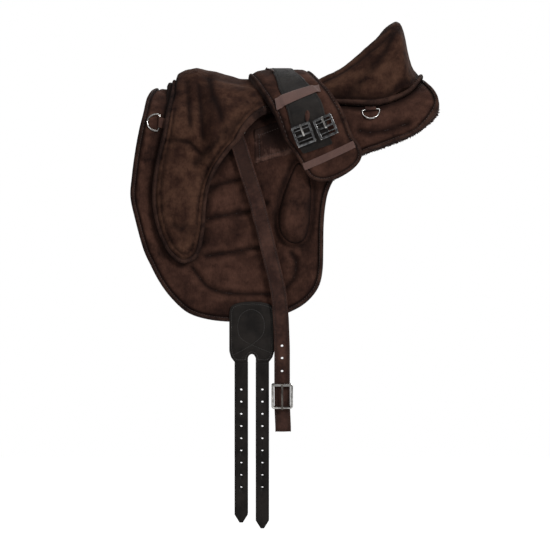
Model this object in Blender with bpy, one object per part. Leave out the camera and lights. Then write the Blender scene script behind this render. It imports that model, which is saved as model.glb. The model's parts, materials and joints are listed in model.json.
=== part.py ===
"""Treeless riding saddle with its quilted pad, stirrup leathers, billets and a short girth laid over the seat.

Metres, +Z up, +X towards the cantle, the near side at -Y. The origin lies on the mid-plane under the
pad, where the horse's back or a saddle rack carries it. Sheets are cut flat, in x along the saddle
and s down its side from the spine, and laid on one draped surface at a height d above it.
"""

import math

import bmesh
import bpy
from mathutils import Matrix, Vector
from mathutils.geometry import delaunay_2d_cdt

# Driving sizes of the draped surface
SADDLE_LENGTH = 0.632
FLAP_DROP = 0.535
ARCH_HALF_WIDTH = 0.130
ARCH_HEIGHT = 0.075
FRONT_RISE = 0.014
REAR_RISE = 0.034
CREASES = 5
STATIONS = 6
SIDE_REACH = 1.3

# Clearances
GAP = 0.0003
SOFT_GAP = 0.0008
CUT_OVERRUN = 0.001
NEAR_POINTS = 0.00002

# Pad, from the horse outwards
FLEECE_THICKNESS = 0.0147
PAD_FOAM_THICKNESS = 0.014
WEB_THICKNESS = 0.0015
WEB_WIDTH = 0.075
QUILT_THICKNESS = 0.006
QUILT_CHANNEL_DEPTH = 0.0045
QUILT_CHANNEL_WIDTH = 0.022
BINDING_WIDTH = 0.010
FLEECE_INSET = 0.004
FLEECE_OVERHANG = 0.006
GULLET_HALF_WIDTH = 0.018
SPINE_STRIP_WIDTH = 0.030
SPINE_STRIP_THICKNESS = 0.0015

# Pommel and seat
CANTLE_HEIGHT = 0.1456
SEAT_DISH = 0.016
SHELL_EDGE = 0.008
SHELL_SUEDE = 0.002
SKIRT_LIFT = 0.018
SKIRT_LIFT_HALF_LENGTH = 0.045
SKIRT_LIFT_FADE = 0.035
KNEE_ROLL_CROWN = 0.016
KNEE_BLOCK_THICKNESS = 0.010
THIGH_BLOCK_CROWN = 0.020
THIGH_BLOCK_EDGE = 0.004
UNDERLAY_THICKNESS = 0.0025
CROWN_RADIUS = 0.022

# Stirrup leathers and what they hang from
LEATHER_WIDTH = 0.032
LEATHER_THICKNESS = 0.0025
LEATHER_DROP = 0.603
LEATHER_PLY_GAP = 0.0006
STIRRUP_LOOP_GAP = 0.010
STIRRUP_LOOP_DROP = 0.028
RING_WIRE = 0.003
RING_WIDTH = 0.042
RING_HEIGHT = 0.017
RING_PIVOT_DROP = 0.045
BELT_WIDTH = 0.038
BELT_THICKNESS = 0.002
EYE_WIDTH = 0.012
EYE_PLAY = 0.0023
EYE_WALL = 0.0015
BUCKLE_WIDTH = 0.044
BUCKLE_HEIGHT = 0.051
BUCKLE_BAR = 0.005
BUCKLE_THICKNESS = 0.004
CROSSBAR = 0.004
PRONG_WIDTH = 0.004
PRONG_THICKNESS = 0.0015
PRONG_EYE_RADIUS = 0.0033

# Billets
BILLET_THICKNESS = 0.004
BILLET_HEAD_WIDTH = 0.092
BILLET_HEAD_HEIGHT = 0.124
BILLET_TAIL_WIDTH = 0.0272
BILLET_TAIL_LENGTH = 0.327
BILLET_REAR_EXTRA = 0.012
BILLET_HOLE_RADIUS = 0.0028
BILLET_HOLE_PITCH = 0.025
BILLET_HOLES = 9
BILLET_FIRST_HOLE = 0.056
BILLET_TOP_ROUND = 0.0012

# Short girth laid over the seat
GIRTH_SETTLE = 0.0025
GIRTH_FLEECE_THICKNESS = 0.005
GIRTH_PAD_THICKNESS = 0.010
GIRTH_CROWN = 0.0027
GIRTH_BINDING_WIDTH = 0.008
GIRTH_STRAP_THICKNESS = 0.003
KEEPER_WIDTH = 0.015
KEEPER_THICKNESS = 0.0015
GIRTH_BUCKLE_WIDTH = 0.041
GIRTH_BUCKLE_HEIGHT = 0.044

# Rings on the pad
DEE_WIDTH = 0.036
DEE_REACH = 0.026
DEE_WIRE = 0.0035
DEE_SLEEVE_WIDTH = 0.022
DEE_TAB_REACH = 0.013
DEE_TAB_THICKNESS = 0.0023
DEE_SLEEVE_WALL = 0.0015
DEE_PLAY = 0.0004

# Heights above the draped surface
PAD_FOAM_TOP = PAD_FOAM_THICKNESS
WEB_BASE = PAD_FOAM_TOP + GAP
PAD_SUEDE_BASE = WEB_BASE + WEB_THICKNESS + GAP
PAD_TOP = PAD_SUEDE_BASE + QUILT_THICKNESS
UNDERLAY_BASE = PAD_TOP + GAP
SHELL_BASE = UNDERLAY_BASE + UNDERLAY_THICKNESS + GAP
FLEECE_DEPTH = FLEECE_THICKNESS + GAP
LEATHER_RING_PLANE = PAD_TOP + GAP + LEATHER_THICKNESS + RING_WIRE / 2 + SOFT_GAP
LEATHER_FLAP_PLANE = PAD_TOP + BILLET_THICKNESS + 2 * GAP + LEATHER_THICKNESS + 2 * GAP

# Outlines, as shares of the saddle's length and of the flap's drop, front to rear
PAD_EDGE_SHARES = (
    (-0.423, 0.000), (-0.436, 0.080), (-0.449, 0.154), (-0.459, 0.231), (-0.475, 0.307),
    (-0.487, 0.390), (-0.496, 0.474), (-0.500, 0.550), (-0.484, 0.637), (-0.459, 0.742),
    (-0.435, 0.803), (-0.405, 0.867), (-0.367, 0.924), (-0.315, 0.975), (-0.250, 0.997),
    (-0.170, 1.003), (-0.090, 0.997), (-0.010, 0.974), (0.049, 0.943), (0.088, 0.905),
    (0.112, 0.860), (0.122, 0.802), (0.124, 0.720), (0.125, 0.640), (0.130, 0.565),
    (0.141, 0.505), (0.165, 0.452), (0.205, 0.405), (0.256, 0.374), (0.308, 0.359),
    (0.360, 0.344), (0.412, 0.330), (0.455, 0.305), (0.485, 0.275), (0.499, 0.240),
    (0.490, 0.188), (0.468, 0.116), (0.456, 0.050), (0.453, 0.000),
)
POMMEL_EDGE_SHARES = (
    (-0.367, 0.000), (-0.366, 0.060), (-0.372, 0.165), (-0.388, 0.264), (-0.403, 0.330),
    (-0.420, 0.420), (-0.430, 0.520), (-0.426, 0.600), (-0.408, 0.680), (-0.378, 0.750),
    (-0.337, 0.787), (-0.300, 0.777), (-0.275, 0.740), (-0.260, 0.650), (-0.255, 0.560),
    (-0.243, 0.486), (-0.221, 0.423), (-0.185, 0.360), (-0.139, 0.300), (-0.091, 0.264),
    (-0.045, 0.238), (-0.001, 0.220),
)
SEAT_EDGE_SHARES = (
    (0.001, 0.219), (0.049, 0.204), (0.107, 0.196), (0.165, 0.197), (0.215, 0.207),
    (0.269, 0.218), (0.310, 0.220), (0.350, 0.213), (0.390, 0.196), (0.420, 0.165),
    (0.438, 0.115), (0.446, 0.055), (0.448, 0.000),
)
CROWN_HEIGHT_SHARES = (
    (-0.367, 0.195), (-0.350, 0.370), (-0.320, 0.438), (-0.285, 0.475), (-0.253, 0.446),
    (-0.224, 0.430), (-0.149, 0.345), (0.000, 0.340), (0.090, 0.340), (0.152, 0.415),
    (0.191, 0.505), (0.230, 0.635), (0.282, 0.805), (0.334, 0.955), (0.358, 1.000),
    (0.375, 0.960), (0.388, 0.800), (0.398, 0.540), (0.412, 0.330), (0.430, 0.240),
    (0.448, 0.195),
)
KNEE_BLOCK_SHARES = (
    (-0.395, 0.400), (-0.408, 0.500), (-0.404, 0.590), (-0.385, 0.665), (-0.350, 0.715),
    (-0.315, 0.705), (-0.295, 0.640), (-0.290, 0.550), (-0.285, 0.470), (-0.320, 0.400),
    (-0.360, 0.370),
)
THIGH_BLOCK_SHARES = (
    (0.040, 0.395), (0.014, 0.455), (-0.006, 0.519), (-0.019, 0.580), (-0.019, 0.640),
    (0.000, 0.683), (0.031, 0.701), (0.064, 0.685), (0.079, 0.624), (0.083, 0.555),
    (0.084, 0.490), (0.070, 0.420),
)
JOCKEY_SHARES = (
    (-0.100, 0.280), (-0.098, 0.398), (-0.049, 0.382), (0.029, 0.355), (0.088, 0.342),
    (0.139, 0.315), (0.146, 0.240), (0.050, 0.235),
)
CHANNEL_SHARES = (
    ((-0.240, 0.500), (-0.205, 0.478), (-0.130, 0.452)),
    ((-0.250, 0.612), (-0.185, 0.594), (-0.115, 0.578), (-0.060, 0.548)),
    ((-0.255, 0.756), (-0.165, 0.735), (-0.081, 0.715), (-0.040, 0.712)),
    ((-0.300, 0.800), (-0.279, 0.834), (-0.250, 0.872), (-0.200, 0.892)),
    ((0.000, 0.872), (0.030, 0.830), (0.036, 0.770), (0.020, 0.735)),
    ((0.240, 0.290), (0.300, 0.300), (0.400, 0.288)),
)
GIRTH_LEFT_SHARES = ((-0.107, 0.000), (-0.097, 0.095), (-0.072, 0.190), (-0.013, 0.285), (0.032, 0.360))
GIRTH_END_SHARES = (
    (0.062, 0.421), (0.081, 0.452), (0.114, 0.468), (0.150, 0.465), (0.190, 0.448),
    (0.228, 0.420), (0.247, 0.388), (0.243, 0.345),
)
GIRTH_RIGHT_SHARES = ((0.195, 0.267), (0.150, 0.205), (0.105, 0.120), (0.083, 0.000))
LEATHER_LINE_SHARES = (
    (0.000, 0.000), (0.016, 0.050), (0.039, 0.131), (0.068, 0.225), (0.103, 0.369), (0.141, 0.537),
    (0.149, 0.628), (0.1525, 0.730), (0.1525, 0.829), (0.1530, 0.930), (0.1560, 1.000),
)
BILLET_HEAD_SHARES = (
    (-0.500, -0.180), (-0.450, -0.075), (-0.270, -0.020), (0.000, 0.000),
    (0.270, -0.020), (0.450, -0.075), (0.500, -0.180), (0.500, -0.820), (0.460, -0.920),
    (0.380, -1.000), (0.090, -1.000), (0.080, -0.930), (0.000, -0.870), (-0.080, -0.930),
    (-0.090, -1.000), (-0.380, -1.000), (-0.460, -0.920), (-0.500, -0.820),
)
POMMEL_END_SHARE = POMMEL_EDGE_SHARES[-1][0]
SEAT_START_SHARE = SEAT_EDGE_SHARES[0][0]
LEATHER_PIVOT_SHARE = -0.162
SKIRT_LIFT_SHARES = (-0.150, 0.100, 0.210)
KNEE_CENTRE_SHARES = (-0.345, 0.560)
KNEE_SPREAD_SHARES = (0.075, 0.200)
WING_START_SHARE = 0.200
FLEECE_SHOWS_SHARE = 0.160
BILLET_PLACE_SHARES = (-0.1075, 0.922)
BILLET_TAIL_OFFSET_SHARE = 0.235
FRONT_DEE_SHARES = (-0.405, 0.274)
REAR_DEE_SHARES = (0.277, 0.230)
LEATHER_HOLE_SHARES = (0.722, 0.764, 0.808, 0.900)
BUCKLE_CENTRE_SHARE = 0.893
KEEPER_PLACES_SHARES = (((-0.030, 0.242), (0.112, 0.196)), ((0.060, 0.410), (0.224, 0.334)))
GIRTH_BUCKLE_SHARES = ((0.060, 0.302), (0.131, 0.289))
GIRTH_TURN_DEGREES = 20
GIRTH_SPAN_SHARES = (-0.150, 0.270)
BELT_END_SHARE = 0.200
TAB_START_SHARE = 0.140
STRAP_TWIST_SHARE = 0.060
STRAP_RISE_SHARES = (0.020, 0.110)
STRAP_STATION_SHARES = (
    0.000, 0.025, 0.050, 0.075, 0.100, 0.131, 0.225, 0.300, 0.369, 0.450, 0.537, 0.628, 0.730, 0.829,
    0.900,
)
GIRTH_STRAP_SHARES = (
    (-0.045, 0.000), (-0.037, 0.100), (-0.020, 0.200), (0.018, 0.280), (0.058, 0.360),
    (0.155, 0.325), (0.118, 0.240), (0.068, 0.170), (0.030, 0.090), (0.020, 0.000),
)


def clear_scene():
    for obj in list(bpy.data.objects):
        bpy.data.objects.remove(obj, do_unlink=True)


def material(name, colour, roughness, metallic=0.0):
    made = bpy.data.materials.new(name)
    made.use_nodes = True
    shader = made.node_tree.nodes["Principled BSDF"]
    shader.inputs["Base Color"].default_value = (*colour, 1.0)
    shader.inputs["Roughness"].default_value = roughness
    shader.inputs["Metallic"].default_value = metallic
    return made


# The draped surface


def spine_height(x):
    """Height of the surface's ridge, straight between stations."""
    pitch = SADDLE_LENGTH / (2 * STATIONS - 2)

    def at_station(k):
        share = 2 * k * pitch / SADDLE_LENGTH
        return FLEECE_DEPTH + (FRONT_RISE if k < 0 else REAR_RISE) * share * share

    k = math.floor(x / pitch)
    part = x / pitch - k
    return at_station(k) * (1 - part) + at_station(k + 1) * part


def section():
    """Corner points of the arch and flap, with their run from the spine and mitred outward directions."""
    turns = [j * math.pi / 2 / CREASES for j in range(CREASES + 1)]
    points = [Vector((ARCH_HALF_WIDTH * math.sin(a), ARCH_HEIGHT * (math.cos(a) - 1))) for a in turns]
    points.append(points[-1] - Vector((0, 2 * SIDE_REACH * FLAP_DROP)))
    outward = []
    runs = [0.0]
    for first, second in zip(points, points[1:]):
        step = second - first
        outward.append(Vector((-step.y, step.x)).normalized())
        runs.append(runs[-1] + step.length)
    mitres = []
    for j in range(len(points)):
        after = outward[min(j, len(outward) - 1)]
        before = outward[j - 1] if j else Vector((-after.x, after.y))
        mitres.append((before + after) / (1 + before.dot(after)))
    return points, runs, mitres


SECTION_POINTS, SECTION_RUNS, SECTION_MITRES = section()
ARCH_RUN = SECTION_RUNS[CREASES]


def on_surface(x, s, d):
    """The point at x, at run s down the near side, or minus s down the far side, and d above the surface."""
    run = abs(s)
    j = max(i for i in range(len(SECTION_RUNS) - 1) if SECTION_RUNS[i] <= run)
    part = (run - SECTION_RUNS[j]) / (SECTION_RUNS[j + 1] - SECTION_RUNS[j])
    flat = SECTION_POINTS[j].lerp(SECTION_POINTS[j + 1], part)
    flat = flat + d * SECTION_MITRES[j].lerp(SECTION_MITRES[j + 1], part)
    side = -1 if s >= 0 else 1
    return Vector((x, side * flat.x, spine_height(x) + flat.y))


def cut(shares, side=1):
    return [(x * SADDLE_LENGTH, side * s * FLAP_DROP) for x, s in shares]


def both_sides(shares):
    """A closed outline over the spine, from the near side's edge."""
    near = cut(shares)
    far = [(x, -s) for x, s in reversed(near) if s > 0]
    return near + far


def inset(loop, amount):
    """The closed outline moved inwards."""
    area = sum(a[0] * b[1] - b[0] * a[1] for a, b in zip(loop, loop[1:] + loop[:1]))
    turn = 1 if area > 0 else -1
    moved = []
    for i, here in enumerate(loop):
        before = Vector(here) - Vector(loop[i - 1])
        after = Vector(loop[(i + 1) % len(loop)]) - Vector(here)
        first = Vector((-before.y, before.x)).normalized() * turn
        second = Vector((-after.y, after.x)).normalized() * turn
        mitre = (first + second) / (1 + first.dot(second))
        moved.append(tuple(Vector(here) + mitre * amount))
    return moved


def one_side(loop, side, start):
    """The part of a closed outline on one side of the spine, from a run of start outwards."""
    kept = []
    for (x0, s0), (x1, s1) in zip(loop, loop[1:] + loop[:1]):
        first, second = side * s0 - start, side * s1 - start
        if first >= 0:
            kept.append((x0, s0))
        if first * second < 0:
            kept.append((x0 + (x1 - x0) * first / (first - second), side * start))
    return kept


def inside(point, loop):
    x, s = point
    found = False
    for (x0, s0), (x1, s1) in zip(loop, loop[1:] + loop[:1]):
        if (s0 > s) != (s1 > s) and x < x0 + (s - s0) * (x1 - x0) / (s1 - s0):
            found = not found
    return found


def distance_to(point, line):
    """Shortest distance from a flat point to a line of points."""
    here = Vector(point)
    best = math.inf
    for start, end in zip(line, line[1:]):
        run = Vector(end) - Vector(start)
        part = min(1, max(0, (here - Vector(start)).dot(run) / run.length_squared))
        best = min(best, (Vector(start) + part * run - here).length)
    return best


def smooth_step(value, start, end):
    part = min(1, max(0, (value - start) / (end - start)))
    return part * part * (3 - 2 * part)


def rounding(distance, radius):
    """A quarter round from 0 at an edge to 1 at the radius."""
    return math.sin(math.pi / 2 * min(1, distance / radius))


def plan(loops, lines=(), draped=True):
    """Triangles over flat outlines, with an edge along each outline, line, crease and station."""
    points = []
    edges = []

    def add(line, closed):
        start = len(points)
        points.extend(Vector(p) for p in line)
        count = len(line)
        edges.extend((start + i, start + (i + 1) % count) for i in range(count if closed else count - 1))

    for loop in loops:
        add(loop, True)
    for line in lines:
        add(line, False)
    if draped:
        xs = [p.x for p in points]
        ss = [p.y for p in points]
        for run in {side * r for r in SECTION_RUNS[: CREASES + 1] for side in (1, -1)}:
            if min(ss) < run < max(ss):
                add([(min(xs), run), (max(xs), run)], False)
        pitch = SADDLE_LENGTH / (2 * STATIONS - 2)
        for k in range(-2 * STATIONS, 2 * STATIONS + 1):
            if min(xs) < k * pitch < max(xs):
                add([(k * pitch, min(ss)), (k * pitch, max(ss))], False)
    made = delaunay_2d_cdt(points, edges, [], 0, NEAR_POINTS)
    return made[0], made[2]


def add_object(name, bm, finish):
    bmesh.ops.recalc_face_normals(bm, faces=bm.faces[:])
    mesh = bpy.data.meshes.new(name)
    bm.to_mesh(mesh)
    bm.free()
    obj = bpy.data.objects.new(name, mesh)
    bpy.context.scene.collection.objects.link(obj)
    mesh.materials.append(finish)
    return obj


def slab(name, flat, outline, low, high, finish, holes=(), place=on_surface):
    """The part of a plan inside an outline and outside its holes, laid between two heights."""
    points, faces = flat
    low_at = low if callable(low) else lambda x, s: low
    high_at = high if callable(high) else lambda x, s: high
    bm = bmesh.new()
    x_layer = bm.verts.layers.float.new("x")
    s_layer = bm.verts.layers.float.new("s")
    made = {}
    for face in faces:
        centre = sum((points[i] for i in face), Vector((0, 0))) / len(face)
        if not inside(centre, outline) or any(inside(centre, hole) for hole in holes):
            continue
        for i in face:
            if i not in made:
                x, s = points[i]
                made[i] = bm.verts.new(place(x, s, low_at(x, s)))
                made[i][x_layer] = x
                made[i][s_layer] = s
        bm.faces.new([made[i] for i in face])
    raised = bmesh.ops.extrude_face_region(bm, geom=bm.faces[:])["geom"]
    for item in raised:
        if isinstance(item, bmesh.types.BMVert):
            x, s = item[x_layer], item[s_layer]
            item.co = place(x, s, high_at(x, s))
    return add_object(name, bm, finish)


def plate(name, outline, thickness, finish, matrix, holes=()):
    """A flat outline in its own x and y, thickened about its mid-plane and placed by a matrix."""
    flat = plan([outline, *holes], draped=False)

    def in_place(x, y, z):
        return matrix @ Vector((x, y, z))

    return slab(name, flat, outline, -thickness / 2, thickness / 2, finish, holes, in_place)


def rectangle(width, height, centre=(0, 0)):
    x, y = centre
    return [
        (x - width / 2, y - height / 2), (x + width / 2, y - height / 2),
        (x + width / 2, y + height / 2), (x - width / 2, y + height / 2),
    ]


def circle(radius, centre, sides=6):
    turns = [2 * math.pi * i / sides for i in range(sides)]
    return [(centre[0] + radius * math.cos(a), centre[1] + radius * math.sin(a)) for a in turns]


def standing_frame(x, s, d, turn=0):
    """A rigid piece's own axes on the surface: x along the saddle, y up the side, z outwards."""
    step = NEAR_POINTS
    side = 1 if s > 0 else -1
    along = (on_surface(x + step, s, d) - on_surface(x - step, s, d)).normalized()
    up = on_surface(x, s - side * step, d) - on_surface(x, s + side * step, d)
    up = (up - along.dot(up) * along).normalized()
    out = along.cross(up) * side
    turned = Matrix((along, up, out)).transposed()
    angle = math.radians(turn)
    spin = Matrix(((math.cos(angle), -math.sin(angle), 0), (math.sin(angle), math.cos(angle), 0), (0, 0, 1)))
    return Matrix.Translation(on_surface(x, s, d)) @ (turned @ spin).to_4x4()


# Heights of the upholstery


def table_value(table, share):
    for (x0, h0), (x1, h1) in zip(table, table[1:]):
        if share <= x1:
            return h0 + (h1 - h0) * max(0, share - x0) / (x1 - x0)
    return table[-1][1]


SHELL_EDGE_LINE = cut(POMMEL_EDGE_SHARES + SEAT_EDGE_SHARES)


def skirt_width(x):
    """How far the pommel and seat reach down the side at x, leaving the knee wing out."""
    wide = min(WING_START_SHARE, 1) * FLAP_DROP
    found = [
        s0 + (s1 - s0) * (x - x0) / (x1 - x0)
        for (x0, s0), (x1, s1) in zip(SHELL_EDGE_LINE, SHELL_EDGE_LINE[1:])
        if min(x0, x1) <= x <= max(x0, x1) and x0 != x1
    ]
    return min(wide, max(found, default=BINDING_WIDTH)) + NEAR_POINTS


def shell_low(x, s):
    """Underside of the pommel and seat, lifted where the stirrup leather passes out."""
    centre, start, end = SKIRT_LIFT_SHARES
    along = abs(x - centre * SADDLE_LENGTH)
    fade = 1 - smooth_step(along, SKIRT_LIFT_HALF_LENGTH, SKIRT_LIFT_HALF_LENGTH + SKIRT_LIFT_FADE)
    lift = SKIRT_LIFT * smooth_step(abs(s), start * FLAP_DROP, end * FLAP_DROP)
    return SHELL_BASE + fade * lift


def crown_over_spine(x, s):
    """How far the top stands over the edge height at x and s, leaving the knee roll out."""
    top = table_value(CROWN_HEIGHT_SHARES, x / SADDLE_LENGTH) * CANTLE_HEIGHT
    rise = max(0, top - SHELL_BASE - SHELL_EDGE)
    part = min(1, abs(s) / skirt_width(x))
    side = 1 - part * part * part
    dish = SEAT_DISH * smooth_step(x, 0, SADDLE_LENGTH / 4) * (1 - smooth_step(part, 0, 0.5))
    fading = 1 - smooth_step(x, SADDLE_LENGTH / 4, SADDLE_LENGTH / 3)
    bolster = SEAT_DISH / 2 * math.sin(math.pi * part) * smooth_step(x, SADDLE_LENGTH / 12, SADDLE_LENGTH / 6)
    return rise * side + (bolster - dish * side) * fading


def knee_roll(x, s):
    far_x = (x / SADDLE_LENGTH - KNEE_CENTRE_SHARES[0]) / KNEE_SPREAD_SHARES[0]
    far_s = (abs(s) / FLAP_DROP - KNEE_CENTRE_SHARES[1]) / KNEE_SPREAD_SHARES[1]
    return KNEE_ROLL_CROWN * math.exp(-far_x * far_x - far_s * far_s)


def shell_top(x, s):
    distance = distance_to((x, abs(s)), SHELL_EDGE_LINE)
    edge = rounding(distance, CROWN_RADIUS)
    return shell_low(x, s) + SHELL_EDGE + edge * (crown_over_spine(x, s) + knee_roll(x, s))


def girth_lift():
    """Height of the girth's underside at each crease: over the highest thing that it crosses near there."""
    around = inset(both_sides(GIRTH_LEFT_SHARES + GIRTH_END_SHARES + GIRTH_RIGHT_SHARES), -BINDING_WIDTH)
    left, right = (x * SADDLE_LENGTH for x in GIRTH_SPAN_SHARES)
    runs = [*SECTION_RUNS[: CREASES + 1], FLAP_DROP]

    def highest(start, end):
        top = SHELL_BASE + SHELL_EDGE
        for i in range(41):
            x = left + (right - left) * i / 40
            for k in range(9):
                run = start + (end - start) * k / 8
                if inside((x, run), around) and run < skirt_width(x) + BINDING_WIDTH:
                    top = max(top, shell_top(x, min(run, skirt_width(x))))
        return top + SOFT_GAP - GIRTH_SETTLE

    spans = [highest(start, end) for start, end in zip(runs, runs[1:])]
    return list(zip(runs, map(max, [spans[0], *spans], [*spans, spans[-1]])))


GIRTH_LIFT = girth_lift()


def girth_base(x, s):
    return table_value(GIRTH_LIFT, abs(s))


# Pad


def quilt_top(channels):
    def height(x, s):
        channel = min(distance_to((x, abs(s)), line) for line in channels)
        return PAD_TOP - QUILT_CHANNEL_DEPTH * (1 - rounding(channel, QUILT_CHANNEL_WIDTH / 2))

    return height


def make_pad(finishes):
    edge = both_sides(PAD_EDGE_SHARES)
    body = inset(edge, BINDING_WIDTH + 2 * GAP)
    channels = [cut(line) for line in CHANNEL_SHARES]
    lines = []
    for line in CHANNEL_SHARES:
        for side in (1, -1):
            lines.append(cut(line, side))
            lines.append([(x, s - side * QUILT_CHANNEL_WIDTH / 2) for x, s in cut(line, side)])
            lines.append([(x, s + side * QUILT_CHANNEL_WIDTH / 2) for x, s in cut(line, side)])
    half_edge = cut(PAD_EDGE_SHARES)
    slab("pad_cover", plan([body], lines), body, PAD_SUEDE_BASE, quilt_top(channels), finishes["suede"])
    within = inset(edge, BINDING_WIDTH)

    def binding_top(x, s):
        return PAD_TOP if distance_to((x, abs(s)), half_edge) > BINDING_WIDTH / 4 else PAD_SUEDE_BASE

    slab("pad_binding", plan([edge, within]), edge, 0, binding_top, finishes["binding"], [within])
    head_x = BILLET_PLACE_SHARES[0] * SADDLE_LENGTH
    web = rectangle(WEB_WIDTH, 2 * FLAP_DROP - 4 * BINDING_WIDTH, (head_x, 0))
    slab("girth_web", plan([web]), web, WEB_BASE, WEB_BASE + WEB_THICKNESS, finishes["webbing"])
    foam = inset(edge, BINDING_WIDTH + 4 * GAP)
    slab("pad_foam", plan([foam]), foam, 0, PAD_FOAM_TOP, finishes["foam"])
    hem = [
        (x, s + math.copysign(FLEECE_OVERHANG, s) if x > FLEECE_SHOWS_SHARE * SADDLE_LENGTH and s else s)
        for x, s in edge
    ]
    outer_fleece = inset(hem, FLEECE_INSET)
    closed_fleece = outer_fleece + outer_fleece[:1]

    def fleece_low(x, s):
        from_edge = min(distance_to((x, s), closed_fleece), abs(s) - GULLET_HALF_WIDTH)
        return -FLEECE_DEPTH + FLEECE_THICKNESS / 2 * (1 - rounding(from_edge, BINDING_WIDTH))

    for side, word in ((1, "near"), (-1, "far")):
        fleece = one_side(outer_fleece, side, GULLET_HALF_WIDTH)
        inner = one_side(inset(hem, FLEECE_INSET + BINDING_WIDTH), side, GULLET_HALF_WIDTH + BINDING_WIDTH)
        flat = plan([fleece, inner])
        slab(f"fleece_{word}", flat, fleece, fleece_low, -GAP, finishes["fleece"])


def make_spine_strip(finishes):
    """Webbing along the gullet between the two fleece panels."""
    ends = (PAD_EDGE_SHARES[0][0] * SADDLE_LENGTH, PAD_EDGE_SHARES[-1][0] * SADDLE_LENGTH)
    strip = rectangle(
        ends[1] - ends[0] - 4 * BINDING_WIDTH, SPINE_STRIP_WIDTH, (sum(ends) / 2, 0)
    )
    slab("spine_strip", plan([strip]), strip, -SPINE_STRIP_THICKNESS - GAP, -GAP, finishes["webbing"])


def make_side_panels(finishes):
    for side, word in ((1, "near"), (-1, "far")):
        panel = cut(JOCKEY_SHARES, side)
        high = UNDERLAY_BASE + UNDERLAY_THICKNESS
        slab(f"seat_base_panel_{word}", plan([panel]), panel, UNDERLAY_BASE, high, finishes["panel"])
        block = cut(THIGH_BLOCK_SHARES, side)
        rim = inset(block, CROWN_RADIUS / 3)
        middle = inset(block, CROWN_RADIUS)
        closed = block + block[:1]

        def block_top(x, s, closed=closed):
            crown = THIGH_BLOCK_CROWN * rounding(distance_to((x, s), closed), CROWN_RADIUS)
            fade = smooth_step(abs(s), THIGH_BLOCK_SHARES[0][1] * FLAP_DROP, THIGH_BLOCK_SHARES[3][1] * FLAP_DROP)
            return UNDERLAY_BASE + THIGH_BLOCK_EDGE + crown * fade

        slab(f"thigh_block_{word}", plan([block, rim, middle]), block, UNDERLAY_BASE, block_top, finishes["suede"])


# Pommel and seat


def make_shell(name, edge_shares, grid_shares, finishes):
    """Foam, cover and edge binding of the pommel or the seat."""
    edge = both_sides(edge_shares)
    open_x = SEAT_START_SHARE * SADDLE_LENGTH if name == "seat" else POMMEL_END_SHARE * SADDLE_LENGTH
    within = [
        (open_x if abs(x - open_x) < BINDING_WIDTH * 1.5 and abs(old[0] - open_x) < NEAR_POINTS else x, s)
        for (x, s), old in zip(inset(edge, BINDING_WIDTH), edge)
    ]
    body = [
        (open_x if abs(old[0] - open_x) < NEAR_POINTS else x, s)
        for (x, s), old in zip(inset(edge, BINDING_WIDTH + 2 * GAP), edge)
    ]
    ring = inset(edge, BINDING_WIDTH * 1.8)
    ring = [(x, s) for x, s in ring if abs(x - open_x) > CROWN_RADIUS / 2]
    lines = []
    reach = max(s for _, s in edge)
    for share in grid_shares:
        lines.append([(share * SADDLE_LENGTH, -reach), (share * SADDLE_LENGTH, reach)])
    blocks = []
    if name == "pommel":
        blocks = [cut(KNEE_BLOCK_SHARES, side) for side in (1, -1)]
    pockets = [inset(block, -2 * GAP) for block in blocks]
    flat = plan([body, *blocks, *pockets], [*lines, ring])

    def foam_top(x, s):
        return shell_top(x, s) - SHELL_SUEDE - GAP

    def cover_low(x, s):
        return shell_top(x, s) - SHELL_SUEDE

    slab(f"{name}_foam", flat, body, shell_low, foam_top, finishes["foam"], pockets)
    for block, word in zip(blocks, ("near", "far")):
        slab(f"knee_block_{word}", flat, block, shell_low, foam_top, finishes["block"])
    slab(f"{name}_cover", flat, body, cover_low, shell_top, finishes["suede"])
    line = cut(edge_shares)

    def band_top(x, s):
        far = distance_to((x, abs(s)), line)
        return shell_low(x, s) + SHELL_EDGE * (0.6 if far < BINDING_WIDTH / 4 else 1)

    flat = plan([edge, within])
    slab(f"{name}_binding", flat, edge, shell_low, band_top, finishes["binding"], [within])


def make_upholstery(finishes):
    make_shell("pommel", POMMEL_EDGE_SHARES, (-0.330, -0.280, -0.220, -0.150, -0.075), finishes)
    make_shell("seat", SEAT_EDGE_SHARES, (0.080, 0.150, 0.215, 0.270, 0.320, 0.358, 0.385, 0.412), finishes)


def side_frame(x, z, d):
    """Axes of a rigid piece hanging flat on the near side: x along the saddle, y up, z outwards."""
    out = ARCH_HALF_WIDTH + d
    return Matrix(((1, 0, 0, x), (0, 0, -1, -out), (0, 1, 0, z), (0, 0, 0, 1)))


def mirrored(matrix, side):
    """The same frame on the far side for side -1."""
    return matrix if side > 0 else Matrix.Scale(-1, 4, (0, 1, 0)) @ matrix


def set_origin(obj, point):
    """Puts a moving piece's origin on its joint axis."""
    obj.data.transform(Matrix.Translation(-Vector(point)))
    obj.location = point


def run_height(share):
    """Height of a place a share of the flap's drop down the flat flap."""
    return FLEECE_DEPTH - ARCH_HEIGHT - (share * FLAP_DROP - ARCH_RUN)


# Edgewise pieces: an outline in a frame's y and z, with its thickness along x
EDGEWISE = Matrix(((0, 0, 1, 0), (1, 0, 0, 0), (0, 1, 0, 0), (0, 0, 0, 1)))


# Stirrup hanging


PIVOT_X = LEATHER_PIVOT_SHARE * SADDLE_LENGTH
PIVOT_Z = FLEECE_DEPTH + FRONT_RISE * (2 * LEATHER_PIVOT_SHARE) ** 2 - RING_PIVOT_DROP
LOOP_TOP_Z = PIVOT_Z - RING_HEIGHT


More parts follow.
